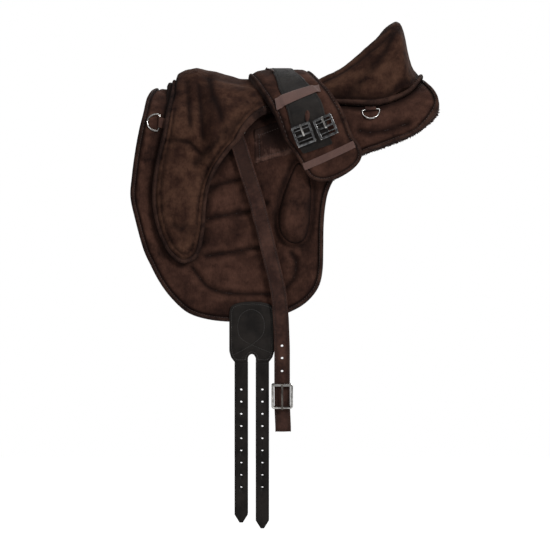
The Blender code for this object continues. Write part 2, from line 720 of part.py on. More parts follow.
def make_belt(finishes):
    """Webbing across the seat, with a tab and eye at each end that the stirrup rings hang in."""
    end = BELT_END_SHARE * FLAP_DROP
    belt = rectangle(BELT_WIDTH, 2 * end, (PIVOT_X, 0))
    slab("stirrup_belt", plan([belt]), belt, UNDERLAY_BASE, UNDERLAY_BASE + BELT_THICKNESS, finishes["webbing"])
    tab_low = UNDERLAY_BASE + BELT_THICKNESS + GAP
    eye_y = ARCH_HALF_WIDTH + LEATHER_RING_PLANE
    hole = rectangle(RING_WIRE + 2 * GAP, RING_WIRE + 2 * EYE_PLAY, (eye_y, PIVOT_Z))
    across = RING_WIRE / 2 + GAP + EYE_WALL
    tall = RING_WIRE / 2 + EYE_PLAY + EYE_WALL
    start = TAB_START_SHARE * FLAP_DROP

    def seen(run, d):
        place = on_surface(PIVOT_X, run, d)
        return (-place.y, place.z)

    runs = [start, *(run for run in SECTION_RUNS if start < run < end), end]
    outline = [
        *(seen(run, tab_low) for run in runs), (eye_y - across, PIVOT_Z + tall / 2),
        (eye_y - across, PIVOT_Z - tall), (eye_y + across, PIVOT_Z - tall), (eye_y + across, PIVOT_Z + tall),
        *(seen(run, tab_low + BELT_THICKNESS) for run in reversed(runs)),
    ]
    for side, word in ((1, "near"), (-1, "far")):
        turned = Matrix(((0, 0, 1, PIVOT_X), (-side, 0, 0, 0), (0, 1, 0, 0), (0, 0, 0, 1)))
        plate(f"stirrup_tab_{word}", outline, EYE_WIDTH, finishes["webbing"], turned, [hole])


def strap_point(share, high, across):
    """A point of the stirrup leather, a share of the way down, with its height outwards and its place across."""
    line = [(z, x) for x, z in LEATHER_LINE_SHARES]
    x = table_value(line, share) * SADDLE_LENGTH
    step = CUT_OVERRUN
    slope = (table_value(line, share + step) - table_value(line, share)) * SADDLE_LENGTH
    lean = math.atan2(slope, step * LEATHER_DROP) * smooth_step(share, 0, STRAP_TWIST_SHARE)
    z = LOOP_TOP_Z - share * LEATHER_DROP
    return Vector((PIVOT_X + x + across * math.cos(lean), -(ARCH_HALF_WIDTH + high), z + across * math.sin(lean)))


def loop_opening(share):
    """From 0 where the two plies lie flat to 1 at the bottom of the loop."""
    return smooth_step(share, 1 - STIRRUP_LOOP_DROP / LEATHER_DROP, 1)


def strap_plane(share):
    """Height of the middle of the two plies at a share of the drop."""
    rise = (LEATHER_FLAP_PLANE - LEATHER_RING_PLANE) * smooth_step(share, *STRAP_RISE_SHARES)
    return LEATHER_RING_PLANE + rise + STIRRUP_LOOP_GAP / 2 * loop_opening(share)


def strap_half_gap(share):
    ring_gap = RING_WIRE / 2 + SOFT_GAP
    ply_gap = LEATHER_PLY_GAP / 2
    top = ring_gap + (ply_gap - ring_gap) * smooth_step(share, *STRAP_RISE_SHARES)
    return top + (STIRRUP_LOOP_GAP / 2 - ply_gap) * loop_opening(share)


def make_leather(name, side, finish):
    """A strap folded into a loop: round the ring at the top, open for a stirrup at the bottom."""
    bottom = STIRRUP_LOOP_DROP / LEATHER_DROP
    shares = [*STRAP_STATION_SHARES, 1 - bottom, 1 - bottom / 2, 1]
    turn = ((1, 0.41), (0.41, 1), (-0.41, 1), (-1, 0.41))
    path = [(share, 1, 0) for share in shares]
    path += [(1, out, down) for out, down in turn]
    path += [(share, -1, 0) for share in reversed(shares)]
    path += [(0, -out, -down) for out, down in turn]
    bm = bmesh.new()
    rings = []
    for share, out, down in path:
        ring = []
        for grow in (0, LEATHER_THICKNESS):
            half = strap_half_gap(share) + grow
            for across in (-LEATHER_WIDTH / 2, LEATHER_WIDTH / 2):
                point = strap_point(share, strap_plane(share) + out * half, across)
                ring.append(bm.verts.new((point.x, point.y * side, point.z - down * half)))
        rings.append([ring[0], ring[1], ring[3], ring[2]])
    for first, second in zip(rings, rings[1:] + rings[:1]):
        for i in range(4):
            j = (i + 1) % 4
            bm.faces.new((first[i], first[j], second[j], second[i]))
    return add_object(name, bm, finish)


def punch(obj, places, radius, depth, name):
    """Cuts round holes through a strap, along Y."""
    bm = bmesh.new()
    for place in places:
        turned = Matrix.Translation(place) @ Matrix.Rotation(math.pi / 2, 4, "X")
        bmesh.ops.create_cone(
            bm, cap_ends=True, segments=6, radius1=radius, radius2=radius, depth=depth, matrix=turned
        )
    cutter = add_object(name, bm, obj.data.materials[0])
    cutter.hide_render = True
    cutter.display_type = "WIRE"
    holes = obj.modifiers.new("holes", "BOOLEAN")
    holes.operation = "DIFFERENCE"
    holes.solver = "EXACT"
    holes.object = cutter


def buckle_outline(width, height, corner):
    """A rectangle with rounded corners, the lower two rounder."""
    w, h = width / 2, height / 2
    near = corner * 0.3
    return [
        (-w + corner, -h), (w - corner, -h), (w - near, -h + near), (w, -h + corner),
        (w, h - corner / 2), (w - corner / 2, h), (-w + corner / 2, h), (-w, h - corner / 2),
        (-w, -h + corner), (-w + near, -h + near),
    ]


def make_prong(name, frame, reach, finish):
    """A tongue with an eye round the bar on the frame's x axis, lying on the bar a reach away towards y."""
    outer = PRONG_EYE_RADIUS + PRONG_THICKNESS
    low = BUCKLE_THICKNESS / 2 + GAP
    start = math.asin(low / outer)
    turns = [start - (start + 1.5 * math.pi) * i / 8 for i in range(9)]
    outline = [(reach, low), *((outer * math.cos(a), outer * math.sin(a)) for a in turns)]
    outline += [(reach - PRONG_THICKNESS * 2, outer), (reach, low + PRONG_THICKNESS / 2)]
    hole = circle(PRONG_EYE_RADIUS, (0, 0), 8)
    return plate(name, outline, PRONG_WIDTH, finish, frame @ EDGEWISE, [hole])


def make_buckle(names, frame, size, bars, finish, prong_finish):
    """A frame in the given axes with its crossbar at bars[0] and its far bar at the top, and its prong."""
    width, height = size
    windows = []
    edges = [-height / 2, *(y + o for y in bars for o in (-CROSSBAR / 2, CROSSBAR / 2)), height / 2 - BUCKLE_BAR]
    if bars[0] > -height / 2 + BUCKLE_BAR:
        edges[0] += BUCKLE_BAR
    else:
        edges = edges[2:]
    for low, high in zip(edges[::2], edges[1::2]):
        windows.append(rectangle(width - 2 * BUCKLE_BAR, high - low, (0, (high + low) / 2)))
    outline = buckle_outline(width, height, BUCKLE_BAR)
    buckle = plate(names[0], outline, BUCKLE_THICKNESS, finish, frame, windows)
    axis = frame @ Matrix.Translation((0, bars[0], 0))
    prong = make_prong(names[1], axis, height / 2 - bars[0], prong_finish)
    set_origin(prong, axis.translation)
    return buckle


def make_stirrup_straps(finishes):
    for side, word in ((1, "near"), (-1, "far")):
        pivot = Vector((PIVOT_X, -side * (ARCH_HALF_WIDTH + LEATHER_RING_PLANE), PIVOT_Z))
        ring_place = mirrored(side_frame(PIVOT_X, PIVOT_Z - RING_HEIGHT / 2, LEATHER_RING_PLANE), side)
        outer = rectangle(RING_WIDTH, RING_HEIGHT + RING_WIRE)
        window = rectangle(RING_WIDTH - 2 * RING_WIRE, RING_HEIGHT - RING_WIRE)
        ring = plate(f"stirrup_ring_{word}", outer, RING_WIRE, finishes["nickel"], ring_place, [window])
        leather = make_leather(f"stirrup_leather_{word}", side, finishes["strap"])
        places = []
        for share in LEATHER_HOLE_SHARES:
            front = strap_plane(share) + LEATHER_PLY_GAP / 2 + LEATHER_THICKNESS / 2
            place = strap_point(share, front, 0)
            places.append((place.x - pivot.x, place.y * side - pivot.y, place.z - pivot.z))
        for piece in (ring, leather):
            set_origin(piece, pivot)
        depth = LEATHER_THICKNESS + LEATHER_PLY_GAP
        punch(leather, places, BILLET_HOLE_RADIUS, depth, f"leather_hole_cutter_{word}")
        bpy.data.objects[f"leather_hole_cutter_{word}"].location = pivot
        surface = LEATHER_FLAP_PLANE + LEATHER_PLY_GAP / 2 + LEATHER_THICKNESS + GAP
        at = strap_point(BUCKLE_CENTRE_SHARE, 0, 0)
        place = mirrored(side_frame(at.x, at.z, surface + PRONG_EYE_RADIUS + PRONG_THICKNESS), side)
        names = (f"stirrup_buckle_{word}", f"stirrup_prong_{word}")
        bars = (-BUCKLE_HEIGHT / 2 + CROSSBAR / 2,)
        size = (BUCKLE_WIDTH, BUCKLE_HEIGHT)
        buckle = make_buckle(names, place, size, bars, finishes["nickel"], finishes["nickel"])
        set_origin(buckle, pivot)


# Billets


def make_billets(finishes):
    head_x = BILLET_PLACE_SHARES[0] * SADDLE_LENGTH
    head_z = run_height(BILLET_PLACE_SHARES[1])
    head = [(x * BILLET_HEAD_WIDTH, z * BILLET_HEAD_HEIGHT) for x, z in BILLET_HEAD_SHARES]
    middle = PAD_TOP + GAP + BILLET_THICKNESS / 2
    top = head_z - BILLET_HEAD_HEIGHT - 2 * GAP
    for side, word in ((1, "near"), (-1, "far")):
        place = mirrored(side_frame(head_x, head_z, middle), side)
        plate(f"billet_head_{word}", head, BILLET_THICKNESS, finishes["leather"], place)
        for end, where in ((-1, "front"), (1, "rear")):
            x = head_x + end * BILLET_TAIL_OFFSET_SHARE * BILLET_HEAD_WIDTH
            length = BILLET_TAIL_LENGTH + BILLET_REAR_EXTRA * (end > 0)
            w, tip = BILLET_TAIL_WIDTH / 2, BILLET_TAIL_WIDTH * 0.6
            outline = [
                (-w, 0), (-w, -length + tip), (-w * 0.25, -length), (w * 0.25, -length),
                (w, -length + tip), (w, 0),
            ]
            holes = [
                circle(BILLET_HOLE_RADIUS, (0, -BILLET_FIRST_HOLE - i * BILLET_HOLE_PITCH))
                for i in range(BILLET_HOLES)
            ]
            place = mirrored(side_frame(x, top, middle), side)
            tail = plate(f"billet_{where}_{word}", outline, BILLET_THICKNESS, finishes["leather"], place, holes)
            round_top(tail, top)
            axis = place @ Vector((0, -BILLET_THICKNESS / 2, 0))
            set_origin(tail, axis)


def round_top(tail, top):
    """Rounds the two long edges at the top of a billet tail, where it folds."""
    bm = bmesh.new()
    bm.from_mesh(tail.data)
    edges = [
        edge
        for edge in bm.edges
        if all(abs(v.co.z - top) < NEAR_POINTS for v in edge.verts)
        and abs(edge.verts[0].co.x - edge.verts[1].co.x) > NEAR_POINTS
        and edge.calc_face_angle(0) > 1
    ]
    bmesh.ops.bevel(
        bm, geom=edges, offset=BILLET_TOP_ROUND, segments=2, profile=0.5, affect="EDGES", material=-1
    )
    bm.to_mesh(tail.data)
    bm.free()


# Rings on the pad


def make_dees(finishes):
    """Four D rings, each on a tab with a sleeve round its straight bar."""
    sleeve = DEE_WIRE / 2 + DEE_PLAY + DEE_SLEEVE_WALL
    for place_shares, turn, where in ((FRONT_DEE_SHARES, 90, "front"), (REAR_DEE_SHARES, 180, "rear")):
        for side, word in ((1, "near"), (-1, "far")):
            x, s = cut((place_shares,), side)[0]
            frame = standing_frame(x, s, UNDERLAY_BASE + sleeve, turn)
            ring = make_dee(f"d_ring_{where}_{word}", frame, finishes["nickel"])
            set_origin(ring, frame.translation)
            make_dee_tab(f"d_ring_tab_{where}_{word}", frame, sleeve, finishes["strap"])


def make_dee(name, frame, finish):
    """A wire D: its straight bar on the frame's x axis, its bow towards plus y."""
    w, reach = DEE_WIDTH / 2, DEE_REACH
    turns = [math.pi * i / 8 for i in range(9)]
    bow = [(w * math.cos(a), reach * 0.25 + reach * 0.75 * math.sin(a)) for a in turns]
    path = [Vector(p) for p in ((w, 0), *bow, (-w, 0))]
    bm = bmesh.new()
    rings = []
    for i, here in enumerate(path):
        first = (here - path[i - 1]).normalized()
        second = (path[(i + 1) % len(path)] - here).normalized()
        mitre = Vector((-(first + second).y, (first + second).x)) / (1 + first.dot(second))
        ring = []
        for k in range(6):
            a = 2 * math.pi * k / 6
            flat = here + mitre * math.cos(a) * DEE_WIRE / 2
            ring.append(bm.verts.new(frame @ Vector((flat.x, flat.y, math.sin(a) * DEE_WIRE / 2))))
        rings.append(ring)
    for first, second in zip(rings, rings[1:] + rings[:1]):
        for i in range(6):
            j = (i + 1) % 6
            bm.faces.new((first[i], first[j], second[j], second[i]))
    return add_object(name, bm, finish)


def make_dee_tab(name, frame, sleeve, finish):
    """A flat tab whose end is folded into a sleeve round the ring's bar."""
    turns = [math.pi / 2 - math.pi * i / 6 for i in range(7)]
    outline = [(sleeve * math.cos(a), sleeve * math.sin(a)) for a in turns]
    outline += [(-DEE_TAB_REACH, -sleeve), (-DEE_TAB_REACH, -sleeve + DEE_TAB_THICKNESS)]
    outline += [(-sleeve * 2, -sleeve + DEE_TAB_THICKNESS)]
    hole = circle(DEE_WIRE / 2 + DEE_PLAY, (0, 0), 8)
    plate(name, outline, DEE_SLEEVE_WIDTH, finish, frame @ EDGEWISE, [hole])


# Short girth over the seat


def resting_frame(x, s, extra, reach):
    """Axes on the girth's layers, across its fall, raised where the layers bow up past a buckle's underside."""
    side = 1 if s > 0 else -1

    def at(along, down):
        run = s + side * down
        return on_surface(x + along, run, girth_base(x, run) + extra)

    around = [at(i * reach, k * reach / 2) for i in (-1, 0, 1) for k in range(-2, 3)]
    along = (at(reach, 0) - at(-reach, 0)).normalized()
    up = at(0, -reach) - at(0, reach)
    up = (up - along.dot(up) * along).normalized()
    out = along.cross(up) * side
    centre = at(0, 0)
    bow = max((place - centre).dot(out) for place in around)
    centre += out * max(0, bow - (PRONG_EYE_RADIUS + PRONG_THICKNESS - BUCKLE_THICKNESS / 2))
    return Matrix.Translation(centre) @ Matrix((along, up, out)).transposed().to_4x4()


def make_girth(finishes):
    edge = both_sides(GIRTH_LEFT_SHARES + GIRTH_END_SHARES + GIRTH_RIGHT_SHARES)
    within = inset(edge, GIRTH_BINDING_WIDTH)
    body = inset(edge, GIRTH_BINDING_WIDTH + 4 * GAP)
    plateau = inset(edge, GIRTH_BINDING_WIDTH + CROWN_RADIUS / 2)
    pad_low = GIRTH_FLEECE_THICKNESS + GAP
    pad_high = pad_low + GIRTH_PAD_THICKNESS
    closed = body + body[:1]
    edge_line = edge + edge[:1]

    def over_base(extra):
        return lambda x, s: girth_base(x, s) + extra

    def pad_top(x, s):
        crown = GIRTH_CROWN * rounding(distance_to((x, s), closed), CROWN_RADIUS / 2)
        return girth_base(x, s) + pad_high + crown

    def band_top(x, s):
        outer = distance_to((x, s), edge_line) < GIRTH_BINDING_WIDTH / 4
        return girth_base(x, s) + pad_high * (0.6 if outer else 1)

    flat = plan([body, plateau])
    fleece_top = over_base(GIRTH_FLEECE_THICKNESS)
    slab("girth_fleece", flat, body, girth_base, fleece_top, finishes["fleece"])
    slab("girth_pad", flat, body, over_base(pad_low), pad_top, finishes["suede"])
    slab("girth_binding", plan([edge, within]), edge, girth_base, band_top, finishes["binding"], [within])
    strap = both_sides(GIRTH_STRAP_SHARES)
    strap_low = pad_high + GIRTH_CROWN + GAP
    strap_high = strap_low + GIRTH_STRAP_THICKNESS
    flat = plan([strap])
    slab("girth_strap", flat, strap, over_base(strap_low), over_base(strap_high), finishes["leather"])
    make_keepers(strap, strap_low, strap_high, finishes["elastic"])
    turn = math.radians(GIRTH_TURN_DEGREES)
    for place, where in zip(GIRTH_BUCKLE_SHARES, ("front", "rear")):
        for side, word in ((1, "near"), (-1, "far")):
            x, s = cut((place,), side)[0]
            frame = resting_frame(x, s, strap_high, GIRTH_BUCKLE_HEIGHT / 2)
            lift = 2 * GAP + PRONG_EYE_RADIUS + PRONG_THICKNESS
            frame = frame @ Matrix.Translation((0, 0, lift)) @ Matrix.Rotation(turn, 4, "Z")
            names = (f"girth_buckle_{where}_{word}", f"girth_prong_{where}_{word}")
            size = (GIRTH_BUCKLE_WIDTH, GIRTH_BUCKLE_HEIGHT)
            make_buckle(names, frame, size, (0,), finishes["gunmetal"], finishes["nickel"])


def make_keepers(strap, strap_low, strap_high, finish):
    """Elastic bands across the strap, falling to the pad at both ends."""
    strap_line = strap + strap[:1]
    across = KEEPER_WIDTH / 2
    falls = [inset(strap, -across / 4), inset(strap, -across)]
    falls = [fall + fall[:1] for fall in falls]

    def low(x, s):
        over = inside((x, s), strap) or distance_to((x, s), strap_line) < across / 2
        return girth_base(x, s) + (strap_high + GAP if over else strap_low)

    def high(x, s):
        return low(x, s) + KEEPER_THICKNESS

    for ends, where in zip(KEEPER_PLACES_SHARES, ("upper", "lower")):
        for side, word in ((1, "near"), (-1, "far")):
            start, end = (Vector(p) for p in cut(ends, side))
            run = (end - start).normalized()
            wide = Vector((-run.y, run.x)) * across
            keeper = [tuple(p) for p in (start - wide, end - wide, end + wide, start + wide)]
            flat = plan([keeper], falls)
            slab(f"girth_keeper_{where}_{word}", flat, keeper, low, high, finish)


def main():
    clear_scene()
    finishes = {
        "suede": material("dark brown suede", (0.040, 0.022, 0.016), 0.9),
        "binding": material("suede edge binding", (0.020, 0.012, 0.010), 0.85),
        "panel": material("smooth brown panel", (0.050, 0.030, 0.022), 0.8),
        "foam": material("upholstery foam", (0.350, 0.300, 0.220), 0.95),
        "block": material("firm block foam", (0.120, 0.100, 0.080), 0.95),
        "fleece": material("brown fleece", (0.045, 0.024, 0.017), 1.0),
        "webbing": material("black webbing", (0.012, 0.011, 0.010), 0.8),
        "leather": material("black leather", (0.014, 0.012, 0.011), 0.45),
        "strap": material("brown strap leather", (0.055, 0.033, 0.024), 0.75),
        "elastic": material("brown elastic", (0.110, 0.062, 0.052), 0.9),
        "nickel": material("nickel plate", (0.550, 0.540, 0.520), 0.25, 1.0),
        "gunmetal": material("dark roller buckle steel", (0.100, 0.100, 0.105), 0.3, 1.0),
    }
    make_pad(finishes)
    make_spine_strip(finishes)
    make_side_panels(finishes)
    make_upholstery(finishes)
    make_belt(finishes)
    make_stirrup_straps(finishes)
    make_billets(finishes)
    make_dees(finishes)
    make_girth(finishes)


main()
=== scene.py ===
"""Treeless saddle in dark brown suede, dressed for its picture.

Soft pieces are cut flat, as on the bench, with x along the saddle and s down its side from the spine,
and then laid on the horse's back at a height d above it.
"""

import json
import math
import random

import bmesh
import bpy
import numpy as np
from mathutils import Matrix, Vector

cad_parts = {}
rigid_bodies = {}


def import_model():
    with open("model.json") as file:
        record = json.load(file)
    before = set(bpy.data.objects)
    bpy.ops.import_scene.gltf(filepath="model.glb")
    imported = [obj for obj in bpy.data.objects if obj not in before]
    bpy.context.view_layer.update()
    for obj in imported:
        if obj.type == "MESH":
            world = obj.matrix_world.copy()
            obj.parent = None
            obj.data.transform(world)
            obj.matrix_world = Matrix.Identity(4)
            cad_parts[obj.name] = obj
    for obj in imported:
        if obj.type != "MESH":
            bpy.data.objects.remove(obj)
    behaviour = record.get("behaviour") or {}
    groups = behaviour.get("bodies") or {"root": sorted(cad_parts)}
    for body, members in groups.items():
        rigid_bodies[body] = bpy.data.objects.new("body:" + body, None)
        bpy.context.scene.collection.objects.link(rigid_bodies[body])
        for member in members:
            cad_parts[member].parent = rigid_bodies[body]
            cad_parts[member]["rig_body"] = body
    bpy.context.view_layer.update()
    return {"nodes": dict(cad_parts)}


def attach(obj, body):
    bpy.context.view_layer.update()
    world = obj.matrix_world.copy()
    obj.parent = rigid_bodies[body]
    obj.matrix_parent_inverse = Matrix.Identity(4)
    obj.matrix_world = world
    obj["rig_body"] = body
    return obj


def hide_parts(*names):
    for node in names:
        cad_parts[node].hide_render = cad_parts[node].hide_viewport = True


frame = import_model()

# The horse's back, as the part lays it: an arch over the spine that runs out into hanging flaps
LENGTH = 0.632
DROP = 0.535
ARCH = (0.13, 0.075)
UNDER = 0.015
RISES = (0.014, 0.034)
TURNS = np.radians(np.arange(0, 91, 18))
RUNS = np.array((0.0, 0.04034, 0.07811, 0.11132, 0.13921, 0.16324))
SIDES = ((1, "near"), (-1, "far"))
PITCH = 0.005
OFF_CORNERS = 0.0000131

# Heights above the back
PAD_LOW = 0.0004
PAD_TOP = 0.0221
PANEL_BASE = 0.0224
TAPE_THICKNESS = 0.002
THINNEST = 0.0004
SHELL_BASE = 0.0252
SHELL_EDGE = 0.008
SKIRT_LIFT = 0.018
CANTLE = 0.1456

# Crowns and hollows of the stuffed parts
CROWN = 0.022
DISH = 0.016
KNEE_ROLL = 0.016
BLOCK_CROWN = 0.021

# Edge tape: its width, how far a piece goes under it, and the sewn lines from its edges
BAND = 0.01
TUCKED = 0.002
SEWN_IN = 0.0022
INNER_LINE = 0.0065

# Straps: the leathers from their pivot down, and the billets with their heads on the hanging flap
HOLE_RADIUS = 0.0027
PIVOT_X = -0.102384
LOOP_TOP = -0.04553
FALL = 0.603
TURN_LOW = 0.0206
TURN_HIGH = 0.0112
STRAP_PLANE = 0.0272
STRAP_APART = 0.0023
RISE_SHARES = (0.02, 0.11)
LOOP_OPENS = 0.028
LEATHER_HALF = 0.016
LEATHER_SEWN = 0.0128
LEATHER_HALF_THICK = 0.0025
LEATHER_HOLES = (0.722, 0.764, 0.808, 0.9)
BEND_PITCH = 0.008
HEAD_X = -0.06794
HEAD_Z = -0.39003
HEAD_SIZE = (0.092, 0.124)
HEAD_FACE = 0.0246
HEAD_ON_PAD = (-0.1075, 0.8)
HEAD_DOWN = 0.075
HEAD_PATCH = 0.062
BILLET_LOW = 0.0224
BILLET_FACE = 0.0262
TAIL_OUT = 0.235 * HEAD_SIZE[0]
TAIL_TOP = -0.5146
TAIL_HALF = 0.0136
TAIL_CREASE = 0.0098
TAIL_HOLES = [0.056 + i * 0.025 for i in range(9)]
TAILS = ((-1, "front", 0.327), (1, "rear", 0.339))
FOLD_SIZE = (0.0262, 0.0008, 0.003)
FOLD_AT = (0.0243, -0.5144)

# Heights above the girth's underside
GIRTH_PAD_LOW = 0.005
GIRTH_PAD_TOP = 0.0136
GIRTH_EDGING_TOP = 0.015
GIRTH_STRAP_LOW = 0.0176
GIRTH_STRAP_TOP = 0.0207
KEEPER_LOW = 0.0178
KEEPER_RISE = 0.0038

# Stitches made at a time, and metal
FEW = 24
WIRE_SWELL = 0.0001
ROLLER_RADIUS = 0.0013
RIVET_RADIUS = 0.0019

# The picture, and its lamps with their places, sizes and watts
FLOOR = -0.98
SKY_LIGHT = 0.4
CAMERA_AWAY = 42.0
PICTURE_WIDTH = 1.1275
PICTURE_MIDDLE = (-0.0205, -0.336)
LAMPS = (
    ("key", (2.4, -3.0, 2.4), 1.4, 210),
    ("fill", (-3.0, -3.4, 0.2), 2.2, 40),
    ("top", (0.2, 0.2, 3.4), 1.8, 45),
    ("back", (1.5, 3.4, 1.8), 2.0, 60),
)

# Outlines, as shares of the length and the drop
PAD_EDGE = (
    (-0.423, 0.0), (-0.436, 0.08), (-0.449, 0.154), (-0.459, 0.231), (-0.475, 0.307),
    (-0.487, 0.39), (-0.496, 0.474), (-0.5, 0.55), (-0.484, 0.637), (-0.459, 0.742),
    (-0.435, 0.803), (-0.405, 0.867), (-0.367, 0.924), (-0.315, 0.975), (-0.25, 0.997),
    (-0.17, 1.003), (-0.09, 0.997), (-0.01, 0.974), (0.049, 0.943), (0.088, 0.905),
    (0.112, 0.86), (0.122, 0.802), (0.124, 0.72), (0.125, 0.64), (0.13, 0.565),
    (0.141, 0.505), (0.165, 0.452), (0.205, 0.405), (0.256, 0.374), (0.308, 0.359),
    (0.36, 0.344), (0.412, 0.33), (0.455, 0.305), (0.485, 0.275), (0.499, 0.24),
    (0.49, 0.188), (0.468, 0.116), (0.456, 0.05), (0.453, 0.0),
)
POMMEL_EDGE = (
    (-0.367, 0.0), (-0.366, 0.06), (-0.372, 0.165), (-0.388, 0.264), (-0.403, 0.33),
    (-0.42, 0.42), (-0.43, 0.52), (-0.426, 0.6), (-0.408, 0.68), (-0.378, 0.75),
    (-0.337, 0.787), (-0.3, 0.777), (-0.275, 0.74), (-0.26, 0.65), (-0.255, 0.56),
    (-0.243, 0.486), (-0.221, 0.423), (-0.185, 0.36), (-0.139, 0.3), (-0.091, 0.264),
    (-0.045, 0.238), (-0.001, 0.22),
)
SEAT_EDGE = (
    (0.001, 0.219), (0.049, 0.204), (0.107, 0.196), (0.165, 0.197), (0.215, 0.207),
    (0.269, 0.218), (0.31, 0.22), (0.35, 0.213), (0.39, 0.196), (0.42, 0.165),
    (0.438, 0.115), (0.446, 0.055), (0.448, 0.0),
)
CROWN_HEIGHTS = (
    (-0.367, 0.195), (-0.35, 0.37), (-0.32, 0.438), (-0.285, 0.475), (-0.253, 0.446),
    (-0.224, 0.43), (-0.149, 0.345), (0.0, 0.34), (0.09, 0.34), (0.152, 0.415),
    (0.191, 0.505), (0.23, 0.635), (0.282, 0.805), (0.334, 0.955), (0.358, 1.0),
    (0.375, 0.96), (0.388, 0.8), (0.398, 0.54), (0.412, 0.33), (0.43, 0.24),
    (0.448, 0.195),
)
THIGH_BLOCK = (
    (0.04, 0.395), (0.014, 0.455), (-0.006, 0.519), (-0.019, 0.58), (-0.019, 0.64),
    (0.0, 0.683), (0.031, 0.701), (0.064, 0.685), (0.079, 0.624), (0.083, 0.555),
    (0.084, 0.49), (0.07, 0.42),
)
SEAT_BASE = (
    (-0.1, 0.28), (-0.098, 0.398), (-0.049, 0.382), (0.029, 0.355), (0.088, 0.342),
    (0.139, 0.315), (0.146, 0.24), (0.05, 0.235),
)
CHANNELS = (
    ((-0.24, 0.5), (-0.205, 0.478), (-0.13, 0.452)),
    ((-0.25, 0.612), (-0.185, 0.594), (-0.115, 0.578), (-0.06, 0.548)),
    ((-0.255, 0.756), (-0.165, 0.735), (-0.081, 0.715), (-0.04, 0.712)),
    ((-0.3, 0.8), (-0.279, 0.834), (-0.25, 0.872), (-0.2, 0.892), (-0.12, 0.896), (-0.04, 0.893)),
    ((0.0, 0.872), (0.03, 0.83), (0.036, 0.77), (0.02, 0.735)),
    ((0.24, 0.29), (0.3, 0.3), (0.4, 0.288)),
)
GIRTH_EDGE = (
    (-0.119, 0.0), (-0.108, 0.095), (-0.079, 0.19), (-0.016, 0.285), (0.031, 0.36),
    (0.062, 0.421), (0.081, 0.452), (0.114, 0.468), (0.15, 0.465), (0.19, 0.448),
    (0.228, 0.42), (0.247, 0.388), (0.243, 0.345), (0.195, 0.267), (0.15, 0.205),
    (0.105, 0.12), (0.083, 0.0),
)
GIRTH_STRAP = (
    (-0.045, 0.0), (-0.037, 0.1), (-0.02, 0.2), (0.018, 0.28), (0.058, 0.36),
    (0.155, 0.325), (0.118, 0.24), (0.068, 0.17), (0.03, 0.09), (0.02, 0.0),
)
GIRTH_LIFTS = (
    (0.0, 0.05185), (0.0781, 0.05212), (0.1113, 0.05075), (0.1392, 0.049), (0.1632, 0.0315), (0.6, 0.0315),
)
KEEPERS = (((-0.03, 0.242), (0.112, 0.196)), ((0.06, 0.41), (0.224, 0.334)))
LEATHER_LINE = (
    (0.0, 0.0), (0.016, 0.05), (0.039, 0.131), (0.068, 0.225), (0.103, 0.369), (0.141, 0.537),
    (0.149, 0.628), (0.1525, 0.73), (0.1525, 0.829), (0.153, 0.93), (0.156, 1.0),
)
BILLET_HEAD = (
    (-0.5, -0.18), (-0.45, -0.075), (-0.27, -0.02), (0.0, 0.0),
    (0.27, -0.02), (0.45, -0.075), (0.5, -0.18), (0.5, -0.82), (0.46, -0.92),
    (0.38, -1.0), (0.09, -1.0), (0.088, -0.93), (0.055, -0.882), (0.0, -0.864),
    (-0.055, -0.882), (-0.088, -0.93), (-0.09, -1.0), (-0.38, -1.0), (-0.46, -0.92),
    (-0.5, -0.82),
)

# The sewn loop on a billet head, along and up in the frame
HEAD_LOOP = (
    (-0.1043, -0.4993), (-0.068, -0.4786), (-0.0464, -0.4591), (-0.0424, -0.4355), (-0.0494, -0.4159),
    (-0.0689, -0.406), (-0.0886, -0.4159), (-0.0964, -0.4355), (-0.0921, -0.463), (-0.068, -0.4786),
    (-0.0297, -0.4944),
)

# Folds of the hide that the picture shows, front to rear: a line, its width and its depth
POMMEL_FOLDS = (
    (((-0.254, 0.177), (-0.225, 0.171), (-0.195, 0.173), (-0.172, 0.197)), 0.0048, 0.005),
    (((-0.182, 0.216), (-0.158, 0.187), (-0.129, 0.162), (-0.096, 0.143)), 0.0075, 0.0046),
    (((-0.201, 0.07), (-0.197, 0.112), (-0.194, 0.147)), 0.005, 0.0038),
    (((-0.176, 0.08), (-0.172, 0.122), (-0.168, 0.163)), 0.0055, 0.0026),
    (((-0.156, 0.06), (-0.148, 0.105), (-0.13, 0.14)), 0.007, 0.0022),
    (((-0.227, 0.345), (-0.213, 0.352), (-0.201, 0.344)), 0.007, 0.004),
    (((-0.164, 0.24), (-0.15, 0.212), (-0.133, 0.19)), 0.004, 0.0028),
)
SEAT_FOLDS = (
    (
        ((0.07, 0.062), (0.12, 0.062), (0.16, 0.06), (0.19, 0.056), (0.215, 0.048), (0.232, 0.03)),
        0.0034, 0.0032,
    ),
    (((0.115, 0.1), (0.155, 0.09), (0.205, 0.07), (0.235, 0.04)), 0.006, 0.002),
    (((0.06, 0.085), (0.1, 0.092), (0.15, 0.098)), 0.006, 0.0016),
)

# The seat's rim, along which the seat is painted lighter
SEAT_RIM = (
    (0.07, 0.051), (0.12, 0.051), (0.16, 0.049), (0.19, 0.045), (0.213, 0.037), (0.224, 0.022),
)


# Drawing on the bench


def cut(shares, side=1):
    """Shares of the length and the drop as places on the bench."""
    return [(x * LENGTH, side * s * DROP) for x, s in shares]


def over_spine(shares):
    """A line on both sides: down the near side as given, and back up the far side."""
    near = cut(shares)
    return near + [(x, -s) for x, s in reversed(near) if s > 0]


def marked(line, pitch, closed):
    """The same line with marks at an even pitch."""
    line = np.array(line, float)
    if closed:
        line = np.concatenate((line, line[:1]))
    run = np.concatenate(([0], np.cumsum(np.linalg.norm(np.diff(line, axis=0), axis=1))))
    marks = np.linspace(0, run[-1], max(3, round(run[-1] / pitch)) + 1)
    even = np.stack([np.interp(marks, run, line[:, k]) for k in range(line.shape[1])], 1)
    return even[:-1] if closed else even


